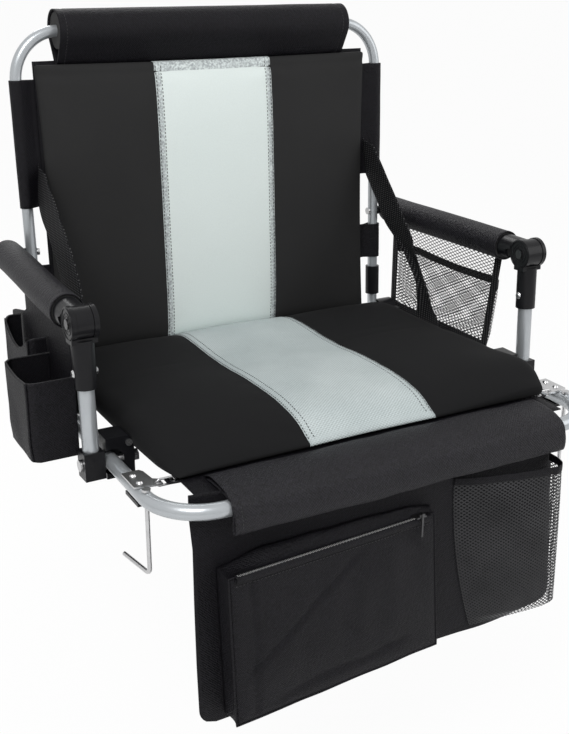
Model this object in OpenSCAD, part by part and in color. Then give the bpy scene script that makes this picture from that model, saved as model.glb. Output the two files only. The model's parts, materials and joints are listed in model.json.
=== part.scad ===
// Folding bleacher seat with armrests, side pockets and a front organiser apron.
// X is the sitter's left to right seen from the front, the seat faces -Y, +Z is up.
// The origin lies on the bench top, midway between the two rear hinges.

/* [Seat frame] */
// Half the spacing of the seat tubes, centre to centre
seat_half = 275; // [240:1:300]
// Distance from the rear hinge axis to the centre of the front bar
seat_depth = 460; // [430:1:500]
// Outside diameter of the seat tube
seat_tube_d = 17; // [15:0.5:19]
// Bend radius of the seat frame's front corners
seat_bend_r = 60; // [45:1:75]
// Wall of all steel tubes
tube_wall = 1.2; // [1:0.1:2]
// Height of the seat tube's centre over the bench
tube_z = 20; // [19:0.5:24]

/* [Back frame] */
// Gap between the back tube and the seat tube, seen from the front
tube_gap = 2.5; // [2.2:0.1:4]
// Height of the top bar's centre above the hinge axis, along the back
back_len = 423; // [400:1:480]
// Outside diameter of the back tube
back_tube_d = 14; // [12:0.5:14]
// Bend radius of the back frame's top corners
back_bend_r = 58; // [45:1:70]
// Lean of the back behind upright, in degrees
recline = 2.5; // [0:0.5:6]

/* [Armrests] */
// Height of the armrest pivots above the seat tube, along the back
arm_h = 157; // [150:1:175]
// Distance from the rear hinge to the post pivot
arm_reach = 300; // [285:1:315]
// Outside radius of the padded armrest
arm_roll_r = 19.2; // [17.5:0.1:21]
// Outside diameter of the post tube
post_d = 18; // [16:0.5:19]
// Radius of the elbow's round cheeks
elbow_r = 18.3; // [17.6:0.1:20]
// Fold of the back from its strap stop, in degrees
fold_max = 72; // [60:1:72]

/* [Cushions] */
// From the seat tube's centre in to the seat cushion's edge
seat_pad_margin = 30; // [28:0.5:60]
// Depth of the seat cushion
seat_pad_len = 391; // [350:1:394]
// Edge thickness of the seat cushion
seat_pad_t = 24; // [16:0.5:26]
// Extra height at the seat cushion's crown
seat_crown = 6; // [3:0.5:12]
// From the back tube's centre in to the back cushion's edge
back_pad_margin = 23; // [20:0.5:50]
// Edge thickness of the back cushion
back_pad_t = 11; // [8:0.5:14]
// Extra height at the back cushion's crown
back_crown = 8; // [4:0.5:12]
// Half width of the pale centre stripe
stripe_half = 83; // [60:1:110]

/* [Pockets and apron] */
// Length of the apron below the seat tube's centre
apron_drop = 252; // [220:1:280]
// Depth of the zip pocket at its full end
zip_depth = 30; // [18:1:34]
// Width of the front cup pocket along the armrest
cup_len = 88; // [76:1:92]
// Depth of the front cup pocket away from the panel
cup_depth = 53; // [38:1:60]
// Height of the cup pockets
cup_h = 92; // [80:1:100]
// Width of the side straps
strap_w = 46; // [38:1:50]

/* [Hidden] */
$fn = 48;
clear = 0.3;          // gap between soft pieces and what they lie on
run = 0.08;           // running clearance of pins in their holes, on the radius
sheet_t = 1.6;        // thickness of the sewn fabric sheets
web_t = 1.8;          // thickness of the webbing
seat_r = seat_tube_d / 2;
back_r = back_tube_d / 2;
back_half = seat_half - seat_r - tube_gap - back_r;
seat_pad_half = seat_half - seat_pad_margin;
back_pad_half = back_half - back_pad_margin;
post_r = post_d / 2;
drum_r = elbow_r - 0.8;
drum_half = 8.8;      // half width of the armrest's elbow drum
cheek_in = drum_half + 0.4;
cheek_out = cheek_in + 5;
cap_t = 1.6;          // thickness of the elbow pin's heads
cap_r = 5.6;
elbow_pin_r = 4;
socket_r = post_r + 3.3;
socket_top = drum_r + 0.7;
socket_end = 71;      // distance from the elbow axis to the socket's lower rim
yoke_half = 9;        // half depth of the block that joins cheeks and socket
yoke_sweep = sqrt(pow(yoke_half, 2) + pow(socket_top + 3, 2)) + 0.7;
fold_left = 90 + recline - fold_max;   // angle between armrest and post when folded
block_half = 11.3;    // half width of the post's foot block
block_d = 11.5;       // half depth of the foot block
block_h = 15.5;       // half height of the foot block
block_gap = 0.7;      // gap between the foot block and the seat tube
post_x = seat_half + seat_r + block_gap + block_half;
bolt_r = 4;
arm_bolt_r = 3;
arm_tube_r = 7;
arm_tube_start = 57;  // distance from the elbow axis to the armrest tube's end
collar_r = 16;
collar_end = 42;      // distance from the elbow axis to the end of the bare collar
spigot_r = 9.2;
spigot_end = 74;
back_sin = sin(recline);
back_cos = cos(recline);
foot_z = tube_z;      // saddles and brackets stand on the bench
bracket_out = seat_half + seat_r + 6.5;
bracket_in = back_half + back_r + 0.7;
bracket_nose = 28;    // how far the rear bracket reaches along the seat tube
tube_stop = 10;       // the seat tube ends this far ahead of the hinge axis
saddle_w_in = seat_half - 26;
saddle_w_out = seat_half + 6;
saddle_back = 24;     // saddle's rear face behind the post pivot
saddle_front = 6;
saddle_top = 27;
cross_y = 62;         // rear cross tube ahead of the hinge axis
cross_r = 7;
sling_z = cross_r + clear;
pad_z = sling_z + sheet_t + clear;
pad_rear = 10;        // rear edge of the seat cushion ahead of the hinge axis
apron_y = seat_depth - seat_r - 2.4;   // front face of the apron, behind the bar
apron_left = 29 - seat_half;
apron_right_top = seat_half - 67;
apron_right_low = seat_half - 37;
apron_top = seat_r + 4.6;
corner_tuck = 8;      // the apron's left top corner is tucked back past the frame's bend
sleeve_half = seat_half - seat_bend_r - 3;   // half width of the front bar's sleeve
top_roll_half = back_half - back_bend_r + 6;
top_roll_r = 24;
top_foam_r = top_roll_r - sheet_t - clear;
panel_in = post_x + 2;    // inner face of the side panels, which hang under the armrests' middles
panel_t = 1.6;
arm_z = arm_h * back_cos;
pivot_y = arm_h * back_sin;            // armrest rear pivot behind the hinge axis
elbow_y = pivot_y - arm_reach;
panel_top = arm_z - sqrt(pow(arm_roll_r, 2) - pow(panel_in - post_x, 2)) - clear;
pad_rear_y = pivot_y + 14;             // rounded rear end of the armrest pad
pad_front_y = elbow_y + collar_end + 0.5;
hook_x = seat_half;
hook_y = -404;
hook_r = 2.4;
hook_drop = 86;
hook_foot = 52;
hook_bend = 7;
hook_turn = 9;        // the hooks' feet point this far outward at rest
tab_y = -377;
tab_t = 2;
plate_t = 4;
screw_gap = 9;        // tab screws each side of the tab's middle
ear_in = 15.8;        // the ear's hole inside the seat tube's centre
ear_hole_r = 2.6;
link_y = -393;
grommet_x = seat_pad_half - 5;
strap_y = -143;       // where the strap's loop holds the seat tube
strap_top_s = 262;
strap_top_x = back_pad_half + 4;
hinge_bolt_head = 4;

black_fabric = [0.11, 0.11, 0.12];
pad_black = [0.15, 0.15, 0.16];
pale_grey = [0.78, 0.83, 0.82];
silver = [0.72, 0.73, 0.75];
steel = [0.6, 0.6, 0.62];
black_plastic = [0.08, 0.08, 0.09];

// Places: seat parts are drawn around the seat tube's plane, back parts in the back's own plane
module at_seat() { translate([0, 0, foot_z]) children(); }
// In the back's plane z runs up the back and -y is the side that the sitter leans on
module at_back() { at_seat() rotate([-recline, 0, 0]) children(); }
module at_elbow(side) { at_seat() translate([side * post_x, elbow_y, arm_z]) children(); }
// The post leans back as the back does; its z = 0 is the foot pivot
module at_post(side) {
    at_seat() translate([side * post_x, -arm_reach, 0]) rotate([-recline, 0, 0]) children();
}
module both() { for (side = [-1, 1]) mirror([side < 0 ? 1 : 0, 0, 0]) children(); }
module along_x(r, x0, x1) { translate([x0, 0, 0]) rotate([0, 90, 0]) cylinder(r = r, h = x1 - x0); }
module along_y(r, y0, y1) { translate([0, y0, 0]) rotate([-90, 0, 0]) cylinder(r = r, h = y1 - y0); }
module ring(r_out, r_in, h) {
    difference() {
        cylinder(r = r_out, h = h);
        translate([0, 0, -1]) cylinder(r = r_in, h = h + 2);
    }
}
module bend(bend_r, r_out, r_in) {
    rotate_extrude(angle = 90) translate([bend_r, 0]) difference() {
        circle(r = r_out);
        circle(r = r_in);
    }
}
// A U of tube in the XY plane: legs along -Y from y_end, bar at y = -depth
module u_tube(half, depth, r, bend_r, y_end) {
    leg = depth - bend_r - y_end;
    both() {
        translate([half, -y_end, 0]) rotate([90, 0, 0]) ring(r, r - tube_wall, leg);
        translate([half - bend_r, bend_r - depth, 0]) rotate([0, 0, -90])
            bend(bend_r, r, r - tube_wall);
    }
    bar = 2 * (half - bend_r);
    translate([-bar / 2, -depth, 0]) rotate([0, 90, 0]) ring(r, r - tube_wall, bar);
}

module seat_frame() {
    color(silver) at_seat() difference() {
        u_tube(seat_half, seat_depth, seat_r, seat_bend_r, tube_stop);
        both() {
            translate([0, -arm_reach, 0]) along_x(bolt_r + run, seat_half - 20, seat_half + 20);
            for (y = [-screw_gap, screw_gap])
                translate([seat_half, tab_y + y, -20]) cylinder(r = 2 + run, h = 40);
            translate([hook_x, hook_y, -20]) cylinder(r = hook_r + run, h = 40);
        }
    }
}
module rear_cross_tube() {
    reach = seat_half - seat_r + 2;
    color(silver) at_seat() translate([0, -cross_y, 0]) difference() {
        along_x(cross_r, -reach, reach);
        along_x(cross_r - tube_wall, -reach - 1, reach + 1);
        both() translate([seat_half, 0, 0]) along_y(seat_r + 0.02, -20, 20);
    }
}
// Rear bracket: holds the end of the seat tube, carries the hinge bolt and stands on the bench
module hinge_brackets() {
    color(black_plastic) at_seat() both() difference() {
        translate([bracket_in, 0, 0]) union() {
            rotate([0, 90, 0]) cylinder(r = foot_z, h = bracket_out - bracket_in);
            translate([0, -bracket_nose, -foot_z])
                cube([bracket_out - bracket_in, bracket_nose, foot_z + seat_r + 3]);
        }
        translate([seat_half, 0, 0]) along_y(seat_r + 0.02, -bracket_nose - 1, -tube_stop + 0.2);
        along_x(bolt_r + 0.02, bracket_in - 1, bracket_out + 1);
    }
}
module hinge_bolts() {
    inner = back_half - back_r - 1;
    color(steel) at_seat() both() {
        along_x(bolt_r, inner, bracket_out + 5.5);
        along_x(7, inner - hinge_bolt_head, inner);
        translate([bracket_out + 0.2, 0, 0]) rotate([0, 90, 0]) difference() {
            cylinder(r = 7.2, h = 5, $fn = 6);
            translate([0, 0, -1]) cylinder(r = bolt_r + 0.02, h = 7);
        }
    }
}
// Saddle: a clip that grips the seat tube from the inside and takes the post's pivot bolt
module post_saddles() {
    w = saddle_w_out - saddle_w_in;
    len = saddle_back - saddle_front;
    color(black_plastic) at_seat() both() difference() {
        translate([saddle_w_in, -arm_reach - saddle_front, -foot_z]) union() {
            cube([w, len + 2 * saddle_front, foot_z + saddle_top - 9]);
            translate([9, 0, foot_z]) cube([w - 9, len + 2 * saddle_front, saddle_top]);
            translate([9, 0, foot_z + saddle_top - 9]) rotate([-90, 0, 0])
                cylinder(r = 9, h = len + 2 * saddle_front);
        }
        translate([seat_half, 0, 0]) along_y(seat_r + 0.02, -arm_reach - 30, -arm_reach + 40);
        translate([seat_half, 0, 0]) along_y(seat_r + 6, -arm_reach - 30, -arm_reach + 2);
        translate([0, -arm_reach, 0]) along_x(bolt_r + 0.02, saddle_w_in - 1, saddle_w_out + 1);
        translate([saddle_w_in + 6, -arm_reach - 7, 19]) rotate([-90, 0, 0]) cylinder(r = 2.02, h = 20);
    }
}
module post_pivot_bolts() {
    outer = post_x + block_half + 0.4;
    color(steel) at_seat() both() translate([0, -arm_reach, 0]) {
        along_x(bolt_r, saddle_w_in - 6, outer);
        along_x(6.5, outer, outer + 2.6);
        translate([saddle_w_in - 5.2, 0, 0]) rotate([0, 90, 0]) difference() {
            cylinder(r = 7.2, h = 5, $fn = 6);
            translate([0, 0, -1]) cylinder(r = bolt_r + 0.02, h = 7);
        }
    }
}
// Riveted plate over the seat tube with an ear for the sling's wire link
module sling_tabs() {
    color(steel) at_seat() both() translate([seat_half, tab_y, seat_r]) difference() {
        linear_extrude(tab_t)
            polygon([[9, 19], [-10, 19], [-13, 14], [-15, -6],
                [-ear_in - 5, -10], [-ear_in - 5, -21], [-12, -21], [9, -17]]);
        for (y = [-screw_gap, screw_gap]) translate([0, y, -1]) cylinder(r = 2 + run, h = 5);
        translate([-ear_in, link_y - tab_y, -1]) cylinder(r = ear_hole_r, h = 5);
    }
}
module tab_underplates() {
    color(black_plastic) at_seat() both()
        translate([seat_half, tab_y, -seat_r - plate_t]) difference() {
            translate([-6, -screw_gap - 8, 0]) cube([12, 2 * screw_gap + 16, plate_t]);
            for (y = [-screw_gap, screw_gap]) translate([0, y, -1]) cylinder(r = 2 + run, h = 7);
        }
}
module frame_screws() {
    color(steel) at_seat() both() {
        for (y = [-screw_gap, screw_gap]) translate([seat_half, tab_y + y, 0]) {
            translate([0, 0, -seat_r - plate_t - 1]) cylinder(r = 2, h = 2 * seat_r + plate_t + 1 + tab_t);
            translate([0, 0, seat_r + tab_t]) cylinder(r1 = 4, r2 = 2.6, h = 2);
        }
        translate([saddle_w_in + 6, -arm_reach - saddle_front, 19]) {
            along_y(2, -0.1, 12);
            along_y(3.8, -2, 0);
        }
    }
}
link_wire_r = 1.25;
link_half_h = 3.6;
// The wire link passes upright through the ear's hole and the sling's grommet
module link_end() {
    rotate([0, 0, 90]) rotate_extrude(angle = 180) translate([link_half_h, 0])
        circle(r = link_wire_r, $fn = 16);
}
module wire_links() {
    reach = seat_half - ear_in - grommet_x - 2 * link_half_h;
    color(steel) at_seat() both()
        translate([grommet_x + link_half_h, link_y, seat_r + 0.6]) rotate([90, 0, 0]) {
            for (z = [-link_half_h, link_half_h]) translate([0, z, 0]) rotate([0, 90, 0])
                cylinder(r = link_wire_r, h = reach, $fn = 16);
            link_end();
            translate([reach, 0, 0]) mirror([1, 0, 0]) link_end();
        }
}
grommet_r = 5.2;
grommet_hole_r = 3;
module grommets() {
    color(steel) at_seat() both() translate([grommet_x, link_y, sling_z - 0.4])
        ring(grommet_r, grommet_hole_r, sheet_t + 0.5);
}
module seat_sling() {
    front = apron_y - sheet_t - clear - corner_tuck;
    color(black_fabric) at_seat() difference() {
        translate([0, 0, sling_z]) union() {
            translate([-seat_pad_half + 9, -front, 0])
                cube([2 * seat_pad_half - 18, front - cross_y + cross_r, sheet_t]);
            both() translate([seat_pad_half - 10, link_y - 8, 0])
                cube([grommet_x + grommet_r + 3 - seat_pad_half + 10, 16, sheet_t]);
        }
        both() translate([grommet_x, link_y, sling_z - 1]) cylinder(r = grommet_r + 0.02, h = sheet_t + 2);
    }
}

// A cushion as one closed mesh: u runs across, v along; height(u, v) is the top
pad_nu = 20;
pad_nv = 16;
function lerp(a, b, t) = a + (b - a) * t;
// Even rise from the edges to a full, rounded crown
function rise(t, power) = pow(max(0, 1 - pow(abs(2 * t - 1), power)), 0.6);
function crown(u, v) = rise(u, 4) * rise(v, 5);
// Sides pull in between the corners, or swell out where pull is negative
function drawn(v, pull) = pull * (1 - pow(2 * v - 1, 2));
module pad_mesh(tops, bottoms, nu, nv) {
    n = (nu + 1) * (nv + 1);
    function at(i, j) = j * (nu + 1) + i;
    top_faces = [for (j = [0:nv - 1], i = [0:nu - 1], k = [0, 1])
        k == 0 ? [at(i, j), at(i, j + 1), at(i + 1, j)]
            : [at(i + 1, j), at(i, j + 1), at(i + 1, j + 1)]];
    low_faces = [for (f = top_faces) [n + f[0], n + f[2], n + f[1]]];
    rim = concat([for (i = [0:nu - 1]) [at(i, 0), at(i + 1, 0)]],
        [for (j = [0:nv - 1]) [at(nu, j), at(nu, j + 1)]],
        [for (i = [nu:-1:1]) [at(i, nv), at(i - 1, nv)]],
        [for (j = [nv:-1:1]) [at(0, j), at(0, j - 1)]]);
    rim_faces = [for (e = rim, k = [0, 1])
        k == 0 ? [e[0], e[1], n + e[0]] : [e[1], n + e[1], n + e[0]]];
    polyhedron(points = concat(tops, bottoms), faces = concat(top_faces, low_faces, rim_faces));
}
// Seat cushion: flat underneath, the front edge droops over the sling's end
seat_pull = -6;
corner_in = 9;        // the front corners are rounded by this much
function seat_corner(v) = corner_in * pow(max(0, (v - 0.9) / 0.1), 1.6);
function seat_x(u, v) = (2 * u - 1) * (seat_pad_half - drawn(v, seat_pull) - seat_corner(v));
function seat_y(u, v) = -pad_rear - (seat_pad_len - drawn(u, 3)) * v;
// The sat-in wave from the rear edge to the drooping front edge, as a share of the full height
seat_wave = [[0, 0.25], [0.05, 0.62], [0.13, 0.93], [0.23, 0.92], [0.35, 0.86], [0.47, 0.88],
    [0.57, 0.98], [0.67, 1.03], [0.77, 1.01], [0.86, 0.91], [0.92, 0.76], [0.965, 0.52], [1, 0.14]];
function seat_top(u, v) = pad_z + lookup(v, seat_wave) * (seat_pad_t + seat_crown * rise(u, 4));
module seat_cushion() {
    color(pad_black) at_seat() pad_mesh(
        [for (j = [0:pad_nv], i = [0:pad_nu]) let (u = i / pad_nu, v = j / pad_nv)
            [seat_x(u, v), seat_y(u, v), seat_top(u, v)]],
        [for (j = [0:pad_nv], i = [0:pad_nu]) let (u = i / pad_nu, v = j / pad_nv)
            [seat_x(u, v) * 0.965, seat_y(u, v), pad_z]],
        pad_nu, pad_nv);
}
stripe_t = 0.8;
// The stripe is a thin band on the cushion's top between the same two seams
stripe_nu = 4;
module stripe_band(tops, lows) { pad_mesh(tops, lows, stripe_nu, pad_nv); }
function stripe_u(half, i) = 0.5 + stripe_half / half * (i / stripe_nu - 0.5);
function stripe_v(j) = j == 0 ? 0.02 : j == pad_nv ? 0.982 : j / pad_nv;
module seat_stripe() {
    function at(i, j, lift) = let (u = stripe_u(seat_pad_half, i), v = stripe_v(j))
        [seat_x(u, v), seat_y(u, v), seat_top(u, v) + lift];
    color(pale_grey) at_seat() stripe_band(
        [for (j = [0:pad_nv], i = [0:stripe_nu]) at(i, j, 2 * clear + stripe_t)],
        [for (j = [0:pad_nv], i = [0:stripe_nu]) at(i, j, 2 * clear)]);
}

// Sleeve of the front bar: a flap from the cushion's front edge round the bar to the apron
// Points are (y, z) from the bar's centre, outside first and then back along the inside
sleeve_out = [[57, 11], [44, 16.5], [29, 17.8], [12, 16], [0, 12.7], [-10.9, 6.4], [-15.5, -5],
    [-17, -16], [-16, -27], [-10, -32], [8, -32]];
sleeve_in = [[8, -30.2], [-9, -30.2], [-14.2, -26], [-15.2, -16], [-13.7, -5.6],
    [-9.6, 4.9], [0.8, 11], [12.5, 14.2], [28.6, 16], [43.2, 14.8], [56, 9.4]];
module front_sleeve() {
    color(black_fabric) at_seat() translate([-sleeve_half, -seat_depth, 0]) rotate([90, 0, 90])
        linear_extrude(2 * sleeve_half) polygon(concat(sleeve_out, sleeve_in));
}
// The apron hangs behind the bar; soft folds deepen towards its hem
apron_nu = 22;
apron_nv = 12;
function apron_right(v) = lerp(apron_right_top, apron_right_low, v) - 5 * pow(v, 8);
function apron_x(u, v) = lerp(apron_left + 4 * pow(v, 6), apron_right(v), u);
function apron_z(u, v) = lerp(apron_top, -apron_drop + 10 * pow(abs(2 * u - 1), 12), v);
// The left corner passes behind the frame's bend
function apron_tuck(u, v) = corner_tuck * max(0, 1 - u / 0.1) * min(1, max(0, 1 - (v - 0.09) / 0.12));
function apron_fold(u, v) = 3.2 * v * (1 - cos(360 * 2.5 * u)) / 2 + apron_tuck(u, v);
module apron() {
    color(black_fabric) at_seat() pad_mesh(
        [for (j = [0:apron_nv], i = [0:apron_nu]) let (u = i / apron_nu, v = j / apron_nv)
            [apron_x(u, v), -apron_y + apron_fold(u, v), apron_z(u, v)]],
        [for (j = [0:apron_nv], i = [0:apron_nu]) let (u = i / apron_nu, v = j / apron_nv)
            [apron_x(u, v), -apron_y + sheet_t + apron_fold(u, v), apron_z(u, v)]],
        apron_nu, apron_nv);
}

// Zip pocket: a boxed pocket, fuller at its left end, with the zip along its top front edge
zip_left = apron_left + 24;
zip_right = zip_left + 262;
zip_top = -70;
zip_low = -apron_drop + 6;
zip_slim = 14;        // depth at the right end
zip_wall = 1.6;
zip_slot = 7;
pocket_back = apron_y + clear;
module zip_plan(inset) {
    polygon([[zip_left + inset, -pocket_back - inset],
        [zip_left + 3 + inset, -pocket_back - zip_depth + inset],
        [zip_right - 2 - inset, -pocket_back - zip_slim + inset],
        [zip_right - inset, -pocket_back - inset]]);
}
// Everything of the zip lies along the pocket's top front edge
zip_run = zip_right - zip_left - 5;
zip_angle = atan((zip_depth - zip_slim) / zip_run);
module at_zip() {
    translate([zip_left + 3, -pocket_back - zip_depth, zip_top]) rotate([0, 0, zip_angle]) children();
}
module zip_pocket() {
    color(black_fabric) at_seat() difference() {
        translate([0, 0, zip_low]) linear_extrude(zip_top - zip_low) zip_plan(0);
        translate([0, 0, zip_low + zip_wall])
            linear_extrude(zip_top - zip_low - 2 * zip_wall) zip_plan(zip_wall);
        at_zip() translate([6, -1, -zip_wall - 1]) cube([zip_run - 12, zip_slot + 3, zip_wall + 3]);
        at_zip() translate([6, -1, -zip_slot]) cube([zip_run - 12, zip_wall + 2.2, zip_slot + 1]);
    }
}
tooth_n = 40;
tape_t = 1.2;
module zipper() {
    color(black_plastic) at_seat() at_zip() {
        translate([6.3, -0.2, -tape_t]) cube([zip_run - 12.6, zip_slot + 1.4, tape_t]);
        translate([6.3, -0.2, -zip_slot + 0.3]) cube([zip_run - 12.6, tape_t, zip_slot - 0.3]);
        for (i = [0:tooth_n - 1]) translate([9 + i * (zip_run - 22) / (tooth_n - 1), 1.6, -0.01])
            cube([2.2, 4, 1.2]);
    }
}
slider_at = zip_run - 24;
slider_len = 13;
module zip_slider() {
    color(steel) at_seat() at_zip() translate([slider_at, 0, 0]) difference() {
        union() {
            translate([0, -2.2, 1.6]) cube([slider_len, 9.4, 2]);
            translate([3, -3.2, 3.5]) cube([2, 5, 3.4]);
            translate([8, -3.2, 3.5]) cube([2, 5, 3.4]);
        }
        translate([0, -1.3, 5.4]) along_x(0.9, 2, 11);
    }
}
pull_len = 26;
module zip_pull() {
    color(steel) at_seat() at_zip() translate([slider_at, -1.3, 5.4]) {
        along_x(0.82, 2.4, 10.6);
        difference() {
            translate([5.3, -2.9, -pull_len]) cube([2.4, 1.6, pull_len + 2.6]);
            along_x(0.8, 2.4, 10.6);
        }
        translate([5.3, -2.9, -0.75]) cube([2.4, 3.2, 1.5]);
    }
}

// Bottle pocket of black net: flush with the apron at its left, standing out at its right
net_t = 1.2;
bottle_top = -42;
bottle_low = -apron_drop + 6;
bottle_top_x = [zip_right + 28, apron_right_top + 6];
bottle_low_x = [zip_right + 66, apron_right_low - 6];
bottle_top_out = 34;
bottle_low_out = 22;
hem_h = 9;
hem_t = 1.5;
module bottle_plan(x, out) {
    polygon([[x[0], -pocket_back], [x[0] + 24, -pocket_back - out * 0.3],
        [x[1] - 18, -pocket_back - out], [x[1] - 3, -pocket_back - out * 0.8], [x[1] + 2, -pocket_back]]);
}
module bottle_slab(x, out, in, z) {
    translate([0, 0, z]) linear_extrude(1) bottle_plan([x[0] + in, x[1] - in], out - in);
}
module bottle_shape(in, lift) {
    hull() {
        bottle_slab(bottle_top_x, bottle_top_out, in, bottle_top - 1 + lift);
        bottle_slab(bottle_low_x, bottle_low_out, in, bottle_low + in);
    }
}
module bottle_net() {
    color(black_fabric) at_seat() difference() {
        bottle_shape(0, 0);
        bottle_shape(net_t, 3);
    }
}
module bottle_hem() {
    color(black_fabric) at_seat() difference() {
        translate([0, 0, bottle_top + clear])
            linear_extrude(hem_h) bottle_plan(bottle_top_x, bottle_top_out);
        translate([0, hem_t / 4, bottle_top - 1]) linear_extrude(hem_h + 4)
            bottle_plan([bottle_top_x[0] + hem_t, bottle_top_x[1] - hem_t], bottle_top_out - hem_t);
    }
}

// Side straps hold the back from falling further; their lower ends loop round the seat tube
strap_low_x = seat_half - seat_r - clear - web_t;
strap_top = [strap_top_x, strap_top_s * back_sin - 12, strap_top_s * back_cos];
strap_low = [strap_low_x, strap_y, 0];
strap_run = norm([strap_top[1] - strap_low[1], strap_top[2] - strap_low[2]]);
strap_tilt = atan2(strap_top[1] - strap_low[1], strap_top[2] - strap_low[2]);
strap_lean = atan((strap_low_x - strap_top_x) / strap_run);
// The strap's top is sewn along the front of the back panel
module strap() {
    difference() {
        strap_run_piece();
        rotate([-recline, 0, 0]) translate([0, -clear, 0]) cube([seat_half, 100, back_len]);
    }
    translate([seat_half, strap_y - strap_w / 2, 0]) rotate([-90, 0, 0])
        ring(seat_r + clear + web_t, seat_r + clear, strap_w);
}
module strap_run_piece() {
    translate(strap_low) rotate([-strap_tilt, 0, 0]) rotate([0, -strap_lean, 0])
        translate([0, -strap_w / 2, 0]) cube([web_t, strap_w, strap_run / cos(strap_lean)]);
}
module strap_left() { color(black_fabric) at_seat() mirror([1, 0, 0]) strap(); }
module strap_right() { color(black_fabric) at_seat() strap(); }

module back_frame() {
    color(silver) at_back() difference() {
        union() {
            rotate([-90, 0, 0]) u_tube(back_half, back_len, back_r, back_bend_r, -11);
        }
        both() {
            along_x(bolt_r + run, back_half - 20, back_half + 20);
            translate([0, 0, arm_h]) along_x(arm_bolt_r + 0.02, back_half - 20, back_half + 20);
        }
    }
}
collar_low = 32;
collar_high = 74;
module hinge_collars() {
    color(black_plastic) at_back() both() translate([back_half, 0, collar_low])
        ring(back_r + 3, back_r + 0.02, collar_high - collar_low);
}
side_sleeves = [[213, 367], [89, 138]];
module back_panel() {
    ring_r = back_r + clear + sheet_t;
    color(black_fabric) at_back() difference() {
        union() {
            translate([-back_pad_half - 1, 0, 34]) cube([2 * back_pad_half + 2, sheet_t, 350]);
            both() for (s = side_sleeves) {
                translate([back_pad_half - 2, 0, s[0]])
                    cube([back_half - back_pad_half, sheet_t, s[1] - s[0]]);
                translate([back_half, 0, s[0]]) cylinder(r = ring_r, h = s[1] - s[0]);
            }
        }
        both() translate([back_half, 0, 20]) cylinder(r = back_r + clear, h = 380);
    }
}
back_pad_low = 18;
back_pad_high = 384;
back_pull = 4;
function back_x(u, v) = (2 * u - 1) * (back_pad_half - drawn(v, back_pull));
function back_z(u, v) = lerp(back_pad_low + drawn(u, 2), back_pad_high - drawn(u, 2), v);
function back_front(u, v) = -clear - back_pad_t - back_crown * crown(u, v);
// The cushion keeps its outline in (x, z) and is drawn face down, then turned up
module back_cushion() {
    color(pad_black) at_back() pad_mesh(
        [for (j = [0:pad_nv], i = [0:pad_nu]) let (u = i / pad_nu, v = j / pad_nv)
            [back_x(u, v), -clear, back_z(u, v)]],
        [for (j = [0:pad_nv], i = [0:pad_nu]) let (u = i / pad_nu, v = j / pad_nv)
            [back_x(u, v), back_front(u, v), back_z(u, v)]],
        pad_nu, pad_nv);
}
module back_stripe() {
    function at(i, j, lift) = let (u = stripe_u(back_pad_half, i), v = stripe_v(j))
        [back_x(u, v), back_front(u, v) - lift, back_z(u, v)];
    color(pale_grey) at_back() stripe_band(
        [for (j = [0:pad_nv], i = [0:stripe_nu]) at(i, j, 2 * clear)],
        [for (j = [0:pad_nv], i = [0:stripe_nu]) at(i, j, 2 * clear + stripe_t)]);
}
module top_foam() {
    color([0.3, 0.3, 0.3]) at_back() translate([-top_roll_half + 2, 0, back_len]) rotate([0, 90, 0])
        ring(top_foam_r, back_r + 0.6, 2 * top_roll_half - 4);
}
module top_sleeve() {
    color(black_fabric) at_back() translate([-top_roll_half, 0, back_len]) rotate([90, 0, 90])
        linear_extrude(2 * top_roll_half) difference() {
            union() {
                circle(r = top_roll_r);
                translate([-2.4, back_pad_high + 2 - back_len]) square([4.8, 22]);
            }
            circle(r = top_roll_r - sheet_t);
        }
}
module arm_pivot_bolts() {
    inner = back_half - back_r - 0.3;
    color(steel) at_back() both() translate([0, 0, arm_h]) {
        along_x(arm_bolt_r, inner, post_x + arm_tube_r + 5);
        along_x(5, inner - 2.4, inner);
        translate([post_x + arm_tube_r + 0.5, 0, 0]) rotate([0, 90, 0]) difference() {
            cylinder(r = 5.6, h = 4, $fn = 6);
            translate([0, 0, -1]) cylinder(r = arm_bolt_r + 0.02, h = 6);
        }
    }
}
module arm_spacers() {
    color(black_plastic) at_back() both()
        translate([back_half + back_r + 0.2, 0, arm_h]) rotate([0, 90, 0])
            ring(6, arm_bolt_r + 0.02, post_x - arm_tube_r - back_half - back_r - 0.6);
}

module arm_tube(side) {
    color(silver) at_elbow(side) difference() {
        translate([0, arm_tube_start, 0]) rotate([-90, 0, 0])
            ring(arm_tube_r, arm_tube_r - tube_wall, arm_reach - arm_tube_start + 11);
        translate([0, arm_reach, 0]) along_x(arm_bolt_r + run, -20, 20);
    }
}
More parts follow.
